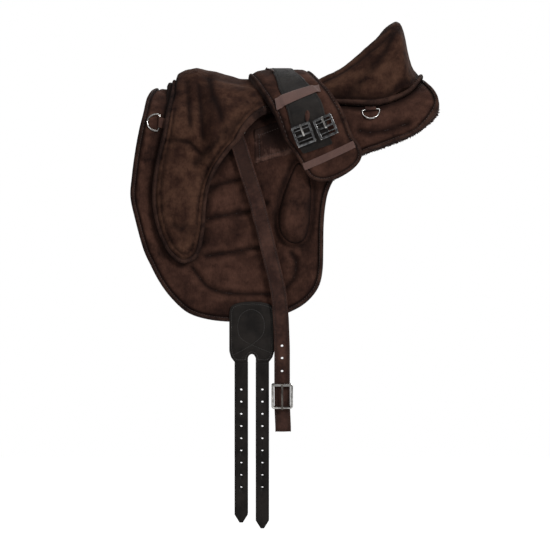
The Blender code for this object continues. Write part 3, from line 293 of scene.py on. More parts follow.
def drawn(points, closed=True, pitch=PITCH):
    """A smooth line through points, as a bent spline draws it."""
    p = np.array(points, float)
    first, last = (p[-1:], p[:2]) if closed else (2 * p[:1] - p[1:2], 2 * p[-1:] - p[-2:-1])
    p = np.concatenate((first, p, last))
    t = np.linspace(0, 1, 12, endpoint=False)[:, None]
    spans = [
        0.5 * (2 * b + (c - a) * t + (2 * a - 5 * b + 4 * c - d) * t * t + (3 * b - a - 3 * c + d) * t ** 3)
        for a, b, c, d in zip(p, p[1:], p[2:], p[3:])
    ]
    line = np.concatenate(spans if closed else [*spans, p[-2:-1]])
    return marked(line, pitch, closed)


def split_edge(shares):
    """The outline of a shell that is drawn over the spine and cut straight across at its open side."""
    line = over_spine(shares)
    if shares[0][1] == 0:
        line = line[len(shares):] + line[:len(shares)]
    line = drawn(line, False)
    across = marked([line[-1], line[0]], PITCH, False)[1:-1]
    return np.concatenate((line, across))


def moved_in(line, amount):
    """A closed line moved inwards."""
    before = line - np.roll(line, 1, 0)
    after = np.roll(line, -1, 0) - line
    along = before / np.linalg.norm(before, axis=1)[:, None] + after / np.linalg.norm(after, axis=1)[:, None]
    along /= np.linalg.norm(along, axis=1)[:, None]
    area = np.sum(line[:, 0] * np.roll(line[:, 1], -1) - np.roll(line[:, 0], -1) * line[:, 1])
    turn = 1 if area > 0 else -1
    return line + turn * amount * np.stack((-along[:, 1], along[:, 0]), 1)


def reach(x, s, line):
    """Distance of each place from a line."""
    best = np.full(len(x), np.inf)
    for (x0, s0), (x1, s1) in zip(line[:-1], line[1:]):
        dx, ds = x1 - x0, s1 - s0
        part = np.clip(((x - x0) * dx + (s - s0) * ds) / (dx * dx + ds * ds + 1e-12), 0, 1)
        best = np.minimum(best, np.hypot(x - x0 - part * dx, s - s0 - part * ds))
    return best


def round_reach(x, s, line):
    """Distance of each place from a closed line."""
    return reach(x, s, np.concatenate((line, line[:1])))


def step(value, start, end):
    """A smooth rise from 0 at the start to 1 at the end."""
    part = np.clip((value - start) / (end - start), 0, 1)
    return part * part * (3 - 2 * part)


def rounding(distance, radius):
    """A rounded rise from 0 at an edge to 1 at the radius."""
    return np.sin(np.pi / 2 * np.clip(distance / radius, 0, 1))


def fade(distance, width, middle=0.0):
    """1 at the middle, fading to 0 over the width on both sides."""
    return np.exp(-(((distance - middle) / width) ** 2))


def crease(x, s, line, width):
    """1 along a crease, fading to 0 over its width."""
    return fade(reach(x, s, line), width)


def eased(table, width):
    """A smooth curve through a table of places and heights."""
    places = np.linspace(table[0][0], table[-1][0], 1200)
    heights = np.interp(places, *zip(*table))
    half = max(1, round(width / (places[1] - places[0]) / 2))
    padded = np.concatenate((np.full(half, heights[0]), heights, np.full(half, heights[-1])))
    for _ in range(2):
        window = np.ones(half + 1) / (half + 1)
        padded = np.convolve(padded, window, "same")
    padded = padded[half:-half]
    return lambda value: np.interp(value, places, padded)


def ripple(x, s, pitch, seed):
    """A soft uneven ripple between -1 and 1, the same each time."""
    rng = random.Random(seed)
    total = np.zeros(len(x))
    for _ in range(7):
        turn = rng.uniform(0, math.pi)
        size = 2 * math.pi / (pitch * rng.uniform(0.7, 1.6))
        total += np.sin((x * math.cos(turn) + s * math.sin(turn)) * size + rng.uniform(0, 6.3))
    return total / 4


def wrinkles(x, s, *sets):
    """Ripples laid over each other, each with its pitch, seed and height."""
    return sum(ripple(x, s, pitch, seed) * size for pitch, seed, size in sets)


def on_back(x, s, d):
    """Places on the horse's back in the frame, at heights d above it."""
    run = np.abs(s)
    turn = np.interp(run, RUNS, TURNS)
    out = np.stack((np.sin(turn) / ARCH[0], np.cos(turn) / ARCH[1]))
    out /= np.linalg.norm(out, axis=0)
    y = ARCH[0] * np.sin(turn) + d * out[0]
    z = ARCH[1] * (np.cos(turn) - 1) - np.maximum(run - RUNS[-1], 0) + d * out[1]
    ridge = UNDER + np.where(x < 0, *RISES) * (2 * x / LENGTH) ** 2
    return np.stack((x, -np.sign(s) * y, ridge + z), 1)


# Finishes


class Value:
    """A socket of a finish, so that shader maths reads as sums."""

    def __init__(self, finish, socket):
        self.finish = finish
        self.socket = socket

    def sum(self, operation, first, second):
        return self.finish.node("ShaderNodeMath", {"operation": operation}, {0: first, 1: second})

    def __add__(self, other):
        return self.sum("ADD", self, other)

    def __radd__(self, other):
        return self.sum("ADD", other, self)

    def __rsub__(self, other):
        return self.sum("SUBTRACT", other, self)

    def __mul__(self, other):
        return self.sum("MULTIPLY", self, other)

    def __rmul__(self, other):
        return self.sum("MULTIPLY", other, self)


class Finish:
    """A material made of nodes."""

    def __init__(self, name, **constants):
        self.material = bpy.data.materials.new(name)
        self.material.use_nodes = True
        self.nodes = self.material.node_tree.nodes
        self.links = self.material.node_tree.links
        self.shader = self.nodes["Principled BSDF"]
        for socket, value in constants.items():
            self.shader.inputs[socket.replace("_", " ")].default_value = value

    def node(self, kind, settings=None, sockets=None, output=0):
        made = self.nodes.new(kind)
        for key, value in (settings or {}).items():
            if key == "stops":
                ramp = made.color_ramp.elements
                while len(ramp) < len(value):
                    ramp.new(0.5)
                for stop, (place, colour) in zip(ramp, value):
                    stop.position = place
                    stop.color = (*colour, 1)
            else:
                setattr(made, key, value)
        self.fill(made, sockets or {})
        return Value(self, made.outputs[output])

    def fill(self, made, sockets):
        for key, value in sockets.items():
            if isinstance(value, Value):
                self.links.new(value.socket, made.inputs[key])
            else:
                made.inputs[key].default_value = value

    def place(self):
        return self.node("ShaderNodeTexCoord", output="Object")

    def mark(self, name, output="Fac"):
        return self.node("ShaderNodeAttribute", {"attribute_name": name}, output=output)

    def noise(self, scale, detail, rough, place=None):
        sockets = {"Vector": place or self.place(), "Scale": scale, "Detail": detail, "Roughness": rough}
        return self.node("ShaderNodeTexNoise", None, sockets)

    def spread(self, value, low, high):
        """The value from low to high, stretched from 0 to 1."""
        sockets = {"Value": value, "From Min": low, "From Max": high}
        return self.node("ShaderNodeMapRange", None, sockets)

    def ramp(self, value, stops):
        return self.node("ShaderNodeValToRGB", {"stops": stops}, {"Fac": value})

    def mix(self, factor, first, second):
        first, second = (c if isinstance(c, Value) else (*c, 1) for c in (first, second))
        return self.node("ShaderNodeMix", {"data_type": "RGBA"}, {0: factor, 6: first, 7: second}, 2)

    def bump(self, height, strength, distance, under=None):
        sockets = {"Height": height, "Strength": strength, "Distance": distance}
        if under:
            sockets["Normal"] = under
        return self.node("ShaderNodeBump", None, sockets)

    def wears(self, **sockets):
        self.fill(self.shader, {key.replace("_", " "): value for key, value in sockets.items()})
        return self.material


def suede(name, deep, middle, light, nap=1.0):
    """Napped leather: brushed patches, fine fibres, painted shade in the creases, and a lighter colour on
    crowns, rolls and rims that is mostly a painted highlight.
    """
    made = Finish(name, Specular_IOR_Level=0.06)
    patches = made.noise(13, 5, 0.62)
    brushed = made.noise(48, 5, 0.65)
    streak = made.node("ShaderNodeMapping", None, {"Vector": made.place(), "Scale": (1.0, 1.0, 0.35)})
    fibres = made.noise(420, 5, 0.7, streak)
    tone = made.spread(patches * 0.55 + brushed * 0.35 + fibres * 0.22, 0.42, 0.72)
    colour = made.ramp(tone, ((0.0, deep), (0.45, middle), (1.0, light)))
    # Painted shade mark: darkens the colour in creases, grooves and edges, and beside and under neighbouring
    # parts.
    hollow = made.mark("hollow")
    # Lighter mark: mostly a painted highlight on crowns, rolls and rims, partly wear.
    highlight_and_wear_mask = made.mark("rubbed")
    colour = made.mix(hollow * 0.9, colour, tuple(c * 0.6 for c in deep))
    colour = made.mix(highlight_and_wear_mask * made.spread(brushed, 0.35, 0.7) * 0.75, colour, light)
    under = made.bump(made.noise(95, 4, 0.6), 0.35, 0.0012 * nap)
    relief = made.bump(fibres, 0.45, 0.0004 * nap, under)
    return made.wears(Base_Color=colour, Roughness=0.98 - made.spread(fibres, 0.4, 0.7) * 0.14, Normal=relief)


def leather(name, deep, light, rough, pores, coat, gloss):
    """Finished strap leather: pores, fine creases, a low shine, painted shade in the grooves and a lighter
    colour along the edges and creases.
    """
    made = Finish(name, Specular_IOR_Level=gloss, Coat_Roughness=0.35)
    sockets = {"Vector": made.place(), "Scale": pores}
    cells = made.node("ShaderNodeTexVoronoi", {"feature": "DISTANCE_TO_EDGE"}, sockets)
    cloudy = made.noise(28, 4, 0.6)
    creased = made.noise(180, 5, 0.65)
    colour = made.mix(made.spread(cloudy + creased * 0.5, 0.6, 0.95), deep, light)
    # Lightens the colour where the mark of painted highlight and wear is set.
    colour = made.mix(made.mark("rubbed") * made.spread(creased, 0.4, 0.65) * 0.5, colour, light)
    # Painted shade: darkens the colour in grooves and creases.
    colour = made.mix(made.mark("hollow") * 0.7, colour, tuple(c * 0.4 for c in deep))
    relief = made.bump(creased, 0.25, 0.0006, made.bump(made.spread(cells, 0.0, 0.25), 0.3, 0.0003))
    shine = rough - 0.08 + made.spread(creased, 0.35, 0.7) * 0.16
    clear = coat * made.spread(cloudy, 0.35, 0.6)
    return made.wears(Base_Color=colour, Roughness=shine, Coat_Weight=clear, Normal=relief)


def woven(name, deep, light, pitch, across=True):
    """Woven tape or elastic: cords along its length crossed by a fine weft."""
    made = Finish(name, Specular_IOR_Level=0.25, Sheen_Weight=0.15)
    split = made.node("ShaderNodeSeparateXYZ", None, {"Vector": made.mark("bench", "Vector")})
    along, wide = split, Value(made, split.socket.node.outputs[1])
    size = 2 * math.pi / pitch

    def wave(value, turns):
        return made.node("ShaderNodeMath", {"operation": "SINE"}, {0: value * turns}) * 0.5 + 0.5

    cords = wave(wide, size)
    weft = wave(along, size * 1.6)
    weave = cords * 0.6 + weft * 0.4 if across else cords * 0.35 + weft * 0.65
    dust = made.noise(60, 4, 0.6)
    colour = made.mix(made.spread(weave * 0.6 + dust * 0.5, 0.2, 0.85), deep, light)
    relief = made.bump(weave, 0.6, 0.0005)
    return made.wears(Base_Color=colour, Roughness=0.82 + dust * 0.15, Normal=relief)


def fleece_wool(name, deep, light):
    """Curly pile."""
    made = Finish(name, Specular_IOR_Level=0.05, Sheen_Weight=0.04)
    sockets = {"Vector": made.place(), "Scale": 170}
    curls = made.node("ShaderNodeTexVoronoi", {"feature": "SMOOTH_F1"}, sockets)
    wisps = made.noise(380, 5, 0.7)
    colour = made.mix(made.spread(curls * 0.7 + wisps * 0.6, 0.2, 0.95), light, deep)
    relief = made.bump(curls + wisps * 0.6, 0.9, 0.003)
    return made.wears(Base_Color=colour, Roughness=0.9 + wisps * 0.1, Normal=relief)


def thread(name, deep, light):
    """Waxed sewing thread, its plies catching the light."""
    made = Finish(name, Specular_IOR_Level=0.4)
    plies = made.noise(2400, 3, 0.6)
    colour = made.mix(made.spread(plies, 0.35, 0.7), deep, light)
    return made.wears(Base_Color=colour, Roughness=0.55 + plies * 0.2, Normal=made.bump(plies, 0.4, 0.0002))


def plated(name, dark, bright, rough):
    """Plated metal with fine polishing lines and dull patches."""
    made = Finish(name, Specular_IOR_Level=0.5)
    drawn_out = made.node("ShaderNodeMapping", None, {"Vector": made.place(), "Scale": (1, 1, 0.08)})
    lines = made.noise(700, 3, 0.6, drawn_out)
    patches = made.noise(120, 4, 0.6)
    colour = made.mix(made.spread(patches, 0.35, 0.7), dark, bright)
    relief = made.bump(lines, 0.12, 0.0001)
    return made.wears(
        Base_Color=colour, Metallic=1.0 - made.spread(patches, 0.62, 0.8) * 0.1,
        Roughness=rough + made.spread(patches + lines * 0.3, 0.5, 0.9) * 0.15, Normal=relief,
    )


SUEDE = suede(
    "napped suede", (0.006, 0.0022, 0.0018), (0.019, 0.008, 0.0052), (0.052, 0.025, 0.0155),
)
FLAP_SUEDE = suede(
    "napped flap suede", (0.007, 0.003, 0.0024), (0.0225, 0.0098, 0.0068), (0.049, 0.0225, 0.0155),
)
EDGING = suede(
    "suede edge tape", (0.0045, 0.0022, 0.002), (0.013, 0.0064, 0.005), (0.038, 0.019, 0.0135), 0.6,
)
PANEL = suede(
    "brushed panel hide", (0.008, 0.004, 0.0033), (0.015, 0.007, 0.0054), (0.09, 0.048, 0.037), 0.5,
)
STRAP = leather("brown strap hide", (0.015, 0.0062, 0.0046), (0.043, 0.02, 0.0145), 0.86, 700, 0.01, 0.1)
BLACK = leather("black hide", (0.0026, 0.0018, 0.0014), (0.009, 0.0068, 0.0056), 0.6, 900, 0.03, 0.11)
ELASTIC = woven("ribbed elastic", (0.038, 0.018, 0.0145), (0.086, 0.046, 0.0375), 0.0016, False)
TAPE = woven("black webbing", (0.005, 0.0045, 0.0042), (0.02, 0.018, 0.0165), 0.0022)
WOOL = fleece_wool("brown pile", (0.007, 0.0034, 0.0028), (0.048, 0.025, 0.02))
THREAD = thread("brown thread", (0.012, 0.0062, 0.005), (0.033, 0.0185, 0.014))
DARK_THREAD = thread("black thread", (0.016, 0.0145, 0.0135), (0.062, 0.058, 0.054))
NICKEL = plated("nickel plate", (0.22, 0.21, 0.2), (0.52, 0.51, 0.49), 0.14)
# Nickel painted darker, as painted shade, for the stirrup ring and stirrup prong.
SHADED_NICKEL = plated("nickel in painted shade", (0.05, 0.044, 0.04), (0.14, 0.125, 0.112), 0.38)
GUNMETAL = plated("dark buckle steel", (0.052, 0.052, 0.053), (0.19, 0.19, 0.192), 0.2)


# Making soft pieces


def sheet_of(outline, rings, pitch, even=True):
    """A flat piece cut to an outline, ringed inside its edge and marked out in a grid."""
    bm = bmesh.new()
    face = bm.faces.new([bm.verts.new((x, s, 0)) for x, s in outline])
    if face.normal.z < 0:
        face.normal_flip()
    for width in rings:
        bmesh.ops.inset_region(bm, faces=[face], thickness=width, use_even_offset=even, use_boundary=True)
    if pitch:
        low, high = np.min(outline, 0), np.max(outline, 0)
        for axis, direction in ((0, (1, 0, 0)), (1, (0, 1, 0))):
            count = max(1, math.ceil((high[axis] - low[axis]) / pitch))
            for mark in np.linspace(low[axis], high[axis], count + 1)[1:-1]:
                place = [0, 0, 0]
                place[axis] = mark + OFF_CORNERS
                parts = bm.verts[:] + bm.edges[:] + bm.faces[:]
                bmesh.ops.bisect_plane(bm, geom=parts, dist=1e-6, plane_co=place, plane_no=direction)
    return bm


def band_of(outline, rings):
    """The rings alone, as an edge tape."""
    bm = sheet_of(outline, rings, None, False)
    middle = max(bm.faces, key=lambda face: len(face.verts))
    bmesh.ops.delete(bm, geom=[middle], context="FACES")
    return bm


def spots(bm):
    """Where the flat piece's corners lie."""
    flat = np.array([v.co for v in bm.verts])
    return flat[:, 0], flat[:, 1]


def height(given, x, s):
    """A height at each place, given as a number or worked out from the place."""
    return given(x, s) if callable(given) else np.full(len(x), float(given))


def thickened(bm, low, high, hollow=None, rubbed=None):
    """Gives a flat piece its underside and top, and keeps its bench marks for the finishes: the painted shade
    mark and the lighter mark of painted highlight and wear.
    """
    x, s = spots(bm)
    bench = bm.verts.layers.float_vector.new("bench")
    marks = [bm.verts.layers.float.new(name) for name in ("hollow", "rubbed")]
    tops = bm.verts.layers.float.new("top")
    below = height(low, x, s)
    above = np.maximum(height(high, x, s), below + THINNEST)
    values = [height(given or 0, x, s) for given in (hollow, rubbed)]
    for i, vert in enumerate(bm.verts):
        vert[bench] = (x[i], s[i], 0)
        for layer, value in zip(marks, values):
            vert[layer] = value[i]
        vert[tops] = above[i]
        vert.co.z = below[i]
    raised = bmesh.ops.extrude_face_region(bm, geom=bm.faces[:])["geom"]
    for item in raised:
        if isinstance(item, bmesh.types.BMVert):
            item.co.z = item[tops]
    bm.verts.layers.float.remove(bm.verts.layers.float["top"])
    return bm


def laid(bm, placed=on_back):
    """Lays a piece that was made flat where it belongs."""
    flat = np.array([v.co for v in bm.verts])
    world = placed(flat[:, 0], flat[:, 1], flat[:, 2])
    for vert, place in zip(bm.verts, world):
        vert.co = place
    return bm


def piece(name, bm, finish, body, nodes=(), sharp=None):
    """Turns a mesh into a piece of the saddle that rides on a body and stands for its solids."""
    bmesh.ops.recalc_face_normals(bm, faces=bm.faces[:])
    mesh = bpy.data.meshes.new(name)
    bm.to_mesh(mesh)
    bm.free()
    obj = bpy.data.objects.new(name, mesh)
    bpy.context.scene.collection.objects.link(obj)
    mesh.materials.append(finish)
    for face in mesh.polygons:
        face.use_smooth = True
    if sharp:
        mesh.set_sharp_from_angle(angle=math.radians(sharp))
    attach(obj, body)
    if nodes:
        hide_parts(*nodes)
    return obj


def stitches(bm, line, high, closed=False, pitch=0.0052, length=0.0038, thick=0.0005):
    """A row of stitches, sunk half into the surface below. A few at a time is far quicker than one by one."""
    marks = marked(line, pitch, closed)
    ahead = np.roll(marks, -1, 0) - marks
    if not closed:
        marks, ahead = marks[:-1], ahead[:-1]
    heights = height(high, marks[:, 0], marks[:, 1])
    size = Matrix.Diagonal((length / 2, thick, thick * 0.8, 1))
    places = []
    for (x, s), (dx, ds), d in zip(marks, ahead, heights):
        turn = Matrix.Rotation(math.atan2(ds, dx), 4, "Z")
        places.append(Matrix.Translation((x + dx / 2, s + ds / 2, d)) @ turn @ size)
    for start in range(0, len(places), FEW):
        few = bmesh.new()
        for place in places[start:start + FEW]:
            bmesh.ops.create_uvsphere(few, u_segments=6, v_segments=4, radius=1, matrix=place)
        mesh = bpy.data.meshes.new("few")
        few.to_mesh(mesh)
        few.free()
        bm.from_mesh(mesh)
        bpy.data.meshes.remove(mesh)


def sewn(name, rows, finish, body="saddle", placed=on_back):
    """Rows of stitches as one piece: each row is a line, its height and how it is sewn."""
    bm = bmesh.new()
    for row in rows:
        stitches(bm, *row)
    piece(name, laid(bm, placed), finish, body)


# Shape of the pommel and seat, as the part gives it

SHELL_LINE = np.array(cut(POMMEL_EDGE + SEAT_EDGE))
crown_height = eased(CROWN_HEIGHTS, 0.015)


def skirt_table():
    """How far the pommel and seat reach down at each place, leaving the knee wing out."""
    places = np.linspace(POMMEL_EDGE[0][0] * LENGTH, SEAT_EDGE[-1][0] * LENGTH, 160)
    widths = []
    for x in places:
        found = [
            s0 + (s1 - s0) * (x - x0) / (x1 - x0)
            for (x0, s0), (x1, s1) in zip(SHELL_LINE[:-1], SHELL_LINE[1:])
            if min(x0, x1) <= x <= max(x0, x1) and x0 != x1
        ]
        widths.append(min(0.2 * DROP, max(found, default=BAND)))
    return eased(list(zip(places, widths)), 0.012)


skirt_width = skirt_table()


def shell_low(x, s):
    """Underside of the pommel and seat, lifted where the stirrup leather passes out."""
    beside = 1 - step(np.abs(x + 0.15 * LENGTH), 0.045, 0.08)
    return SHELL_BASE + beside * SKIRT_LIFT * step(np.abs(s), 0.1 * DROP, 0.21 * DROP)


def crown_over(x, s):
    """How far the top stands over the edge, leaving the knee roll out."""
    lifted = 1 + 0.04 * step(x, 0.14, 0.2)
    rise = np.maximum(0, crown_height(x / LENGTH) * CANTLE * lifted - SHELL_BASE - SHELL_EDGE)
    part = np.minimum(1, np.abs(s) / (skirt_width(x) + 0.00002))
    side = 1 - part ** 3
    dish = DISH * step(x, 0, LENGTH / 4) * (1 - step(part, 0, 0.5))
    fading = 1 - step(x, LENGTH / 4, LENGTH / 3)
    bolster = DISH / 2 * np.sin(np.pi * part) * step(x, LENGTH / 12, LENGTH / 6)
    return rise * side + (bolster - dish * side) * fading


def knee_roll(x, s):
    """How far the roll in front of the knee stands out."""
    far_x = (x / LENGTH + 0.345) / 0.075
    far_s = (np.abs(s) / DROP - 0.56) / 0.2
    return KNEE_ROLL * np.exp(-far_x * far_x - far_s * far_s)


def shell_top(x, s):
    """Top of the pommel and seat without their folds."""
    front = (1 - step(x, -0.23, -0.19)) * (1 - step(np.abs(s), 0.06, 0.12))
    edge = rounding(reach(x, np.abs(s), SHELL_LINE), CROWN - 0.01 * front)
    return shell_low(x, s) + SHELL_EDGE + edge * (crown_over(x, s) + knee_roll(x, s))


girth_lift = eased(GIRTH_LIFTS, 0.02)


def girth_base(x, s):
    """Height of the girth, whose front edge dips on to the pommel."""
    dip = 0.006 * (1 - step(x, -0.076, -0.036)) * (1 - step(np.abs(s), 0.05, 0.11))
    return girth_lift(np.abs(s)) - dip


def folds(x, s, lines):
    """Depth of the folds, and how much each place lies in one."""
    depth = np.zeros(len(x))
    inside = np.zeros(len(x))
    for line, width, deep in lines:
        near = crease(x, np.abs(s), line, width)
        depth += deep * near
        inside = np.maximum(inside, near * min(1, deep / 0.002))
    return depth, inside


# Quilted pad


def make_pad():
    edge = drawn(over_spine(PAD_EDGE))
    body = moved_in(edge, BAND - TUCKED)
    channels = [drawn(cut(line), False, 0.008) for line in CHANNELS]
    block = drawn(cut(THIGH_BLOCK), True, 0.006)
    head_x, head_s = cut((HEAD_ON_PAD,))[0]

    def beside_block(x, s):
        return fade(round_reach(x, np.abs(s), block), 0.005, 0.007)

    def from_channel(x, s):
        return np.min([reach(x, np.abs(s), line) for line in channels], 0)

    def top(x, s):
        border = round_reach(x, s, edge) - BAND
        seam = from_channel(x, s)
        covered = (reach(x, np.abs(s), SHELL_LINE) < 0.012) | (np.abs(s) < skirt_width(x))
        from_head = np.hypot(x - head_x, np.abs(s) - head_s - HEAD_DOWN) / HEAD_PATCH
        clear = step(from_head, 0.9, 1.5)
        pillow = rounding(np.minimum(border, seam), 0.034) * clear * ~covered
        wrinkled = wrinkles(x, s, (0.03, 1, 0.0005), (0.011, 3, 0.00022))
        groove = 0.0058 * (1 - rounding(seam, 0.012)) + 0.0035 * (1 - rounding(border, 0.007))
        groove += 0.0035 * beside_block(x, s)
        return PAD_TOP - 0.0004 - groove + 0.0022 * pillow + wrinkled * np.where(clear > 0.5, 1, 0.2)

    # Painted shade: darker along the quilting channels, the bound border, beside the thigh block, and under
    # the edge of the pommel and seat.
    def hollow(x, s):
        border = fade(round_reach(x, s, edge), 0.003, BAND)
        seam = fade(from_channel(x, s), 0.0045)
        shaded = 0.95 * fade(reach(x, np.abs(s), SHELL_LINE), 0.0085)
        return np.max((seam, border, 0.8 * beside_block(x, s), shaded), 0)

    # Painted highlight: lighter on the ridge beside each quilting channel and on the roll inside the front
    # border.
    def rubbed(x, s):
        seam = fade(from_channel(x, s), 0.006, 0.013) * 0.7
        roll = fade(round_reach(x, s, edge) - BAND, 0.006, 0.011) * (1 - step(x, -0.25, -0.2))
        return np.maximum(seam, roll)

    flat = thickened(sheet_of(body, (0.002, 0.003, 0.004), 0.0042), PAD_LOW, top, hollow, rubbed)
    nodes = ("pad_cover", "pad_foam", "girth_web")
    pad = piece("quilted_pad", laid(flat), FLAP_SUEDE, "saddle", nodes)
    make_edging("pad_edging", edge, 0, PAD_TOP + 0.0006, "pad_binding", "saddle")
    rows = [(moved_in(edge, BAND - SEWN_IN), PAD_TOP - 0.0004, True)]
    rows += [(line * (1, side), lambda x, s: top(x, s) + 0.0003) for line in channels for side in (1, -1)]
    sewn("pad_stitching", rows, THREAD)


def make_edging(name, edge, low, top, node, body, width=BAND):
    """A tape folded round an edge: full over its middle and tucked at both sides."""
    rings = [width * part for part in (0.06, 0.12, 0.17, 0.2, 0.2, 0.13, 0.08)]

    def over(x, s):
        part = np.clip(round_reach(x, s, edge) / width, 0, 1)
        full = np.sqrt(np.maximum(0, 1 - (2 * part - 1) ** 2))
        base = height(low, x, s)
        return base + (height(top, x, s) - base) * (1 - (1 - full) * np.where(part < 0.5, 0.62, 0.32))

    # Painted shade: darker where the tape tucks in along its inner side, with a narrow dark line just outside
    # it.
    def hollow(x, s):
        part = round_reach(x, s, edge) / width
        return fade(part, 0.14, 1) + 0.6 * fade(part, 0.05, 0.78)

    # Painted highlight: a lighter band along the tape, stronger towards the rear and weaker at the front.
    def rubbed(x, s):
        behind = 0.35 + 0.65 * step(x, -0.27, -0.12)
        return behind * fade(round_reach(x, s, edge) / width, 0.25, 0.45)

    flat = thickened(band_of(edge, rings), low, over, hollow, rubbed)
    return piece(name, laid(flat), EDGING, body, (node,))


# Pommel and seat


def on_wing(s):
    """0 over the back, 1 on the wing that hangs at the side."""
    return step(np.abs(s), 0.1, 0.14)


def inside_line(from_edge, s):
    """1 along the sewn line inside the wing's edge."""
    return fade(from_edge - BAND, 0.0028, INNER_LINE) * on_wing(s)


def make_shell(name, shares, lines, nodes):
    """The pommel or the seat with its edge tape and stitching."""
    edge = split_edge(shares)
    open_x = shares[-1][0] * LENGTH if name == "pommel" else shares[0][0] * LENGTH
    side = 1 if name == "pommel" else -1
    body = moved_in(edge, BAND - TUCKED)
    body[:, 0] = np.where(np.abs(edge[:, 0] - open_x) < 0.0009, open_x - side * 0.0002, body[:, 0])

    def top(x, s):
        from_edge = reach(x, np.abs(s), SHELL_LINE)
        depth, _ = folds(x, s, lines)
        tuck = 0.0035 * (1 - rounding(from_edge - BAND + TUCKED, 0.006))
        seam = 0.0035 * fade(x, 0.005, open_x)
        inner = 0.0036 * inside_line(from_edge, s)
        wrinkled = wrinkles(x, s, (0.034, 5, 0.0008), (0.012, 6, 0.00028))
        return shell_top(x, s) - tuck - depth - seam - inner + wrinkled * rounding(from_edge, 0.03)

    # Painted shade: darker in the folds, where the edge tucks under the tape, along the sewn line inside the
    # wing's edge, and over the front of the pommel.
    def hollow(x, s):
        from_edge = reach(x, np.abs(s), SHELL_LINE)
        _, inside = folds(x, s, lines)
        tucked = (1 - 0.6 * on_wing(s)) * fade(from_edge, 0.0028, BAND)
        front = (1 - step(x, -0.262, -0.242)) * (from_edge < BAND + INNER_LINE) * 0.6
        return np.clip(np.max((inside, tucked, 0.9 * inside_line(from_edge, s), front), 0), 0, 1)

    # Lighter colour: a painted highlight on the roll inside the edge, on the knee roll and on the wing's rim,
    # and a lighter line along the seat's rim.
    def rubbed(x, s):
        from_edge = reach(x, np.abs(s), SHELL_LINE)
        swell = knee_roll(x, s) / KNEE_ROLL
        rim = fade(from_edge - BAND, 0.004, 0.002) * on_wing(s)
        roll = fade(from_edge - BAND, 0.009, 0.017) * (0.35 + 0.65 * step(x, -0.24, -0.17))
        seat_rim_lighter = crease(x, np.abs(s), SEAT_RIM, 0.007) * (x > 0)
        return np.clip(roll + 0.4 * swell + 0.7 * rim + seat_rim_lighter, 0, 1)

    flat = thickened(sheet_of(body, (0.0015, 0.002, 0.0025, 0.003), 0.004), shell_low, top, hollow, rubbed)
    shell = piece(f"{name}_upholstery", laid(flat), SUEDE, "saddle", nodes)

    def band_top(x, s):
        collar = 0.008 * (1 - step(x, -0.225, -0.215)) * (1 - step(np.abs(s), 0.045, 0.11))
        return shell_low(x, s) + SHELL_EDGE + 0.001 + collar

    make_edging(f"{name}_edging", edge, shell_low, band_top, f"{name}_binding", "saddle")
    row = [p for p in moved_in(edge, BAND - SEWN_IN) if abs(p[0] - open_x) > 0.009]
    sewn(f"{name}_stitching", [(row, lambda x, s: shell_low(x, s) + SHELL_EDGE - 0.0004)], THREAD)


def make_seam():
    """The tape at the bottom of the seam where the pommel meets the seat."""
    ends = POMMEL_EDGE[-1][0] * LENGTH, SEAT_EDGE[0][0] * LENGTH
    low, high = min(ends) - 0.003, max(ends) + 0.003
    reaches = float(skirt_width(np.array([sum(ends) / 2]))[0]) - 0.002
    outline = marked([(low, -reaches), (high, -reaches), (high, reaches), (low, reaches)], 0.003, True)
    flat = thickened(sheet_of(outline, (0.001,), 0.003), shell_low, lambda x, s: shell_top(x, s) - 0.0045)
    piece("seat_seam_tape", laid(flat), EDGING, "saddle")


def make_collar():
    """The turned-up tape in front of the pommel, darkened all over with painted shade."""
    front = [(-0.2415, -0.115), (-0.242, 0.0), (-0.2415, 0.115)]
    rear = [(-0.227, 0.115), (-0.225, 0.0), (-0.227, -0.115)]
    outline = marked(front + rear, 0.004, True)

    def top(x, s):
        height = 0.0128 * (1 - step(np.abs(s), 0.03, 0.112)) + 0.001
        return PAD_TOP + height * (0.35 + 0.65 * rounding(round_reach(x, s, outline), 0.005))

    # Painted shade over the whole collar, deepest on its rear part.
    def hollow(x, s):
        return 0.6 + 0.4 * (x > -0.233)

    flat = thickened(sheet_of(outline, (0.001, 0.0015, 0.002), 0.004), PAD_TOP - 0.003, top, hollow)
    piece("pommel_collar", laid(flat), EDGING, "saddle")


# Blocks and base panels at the sides


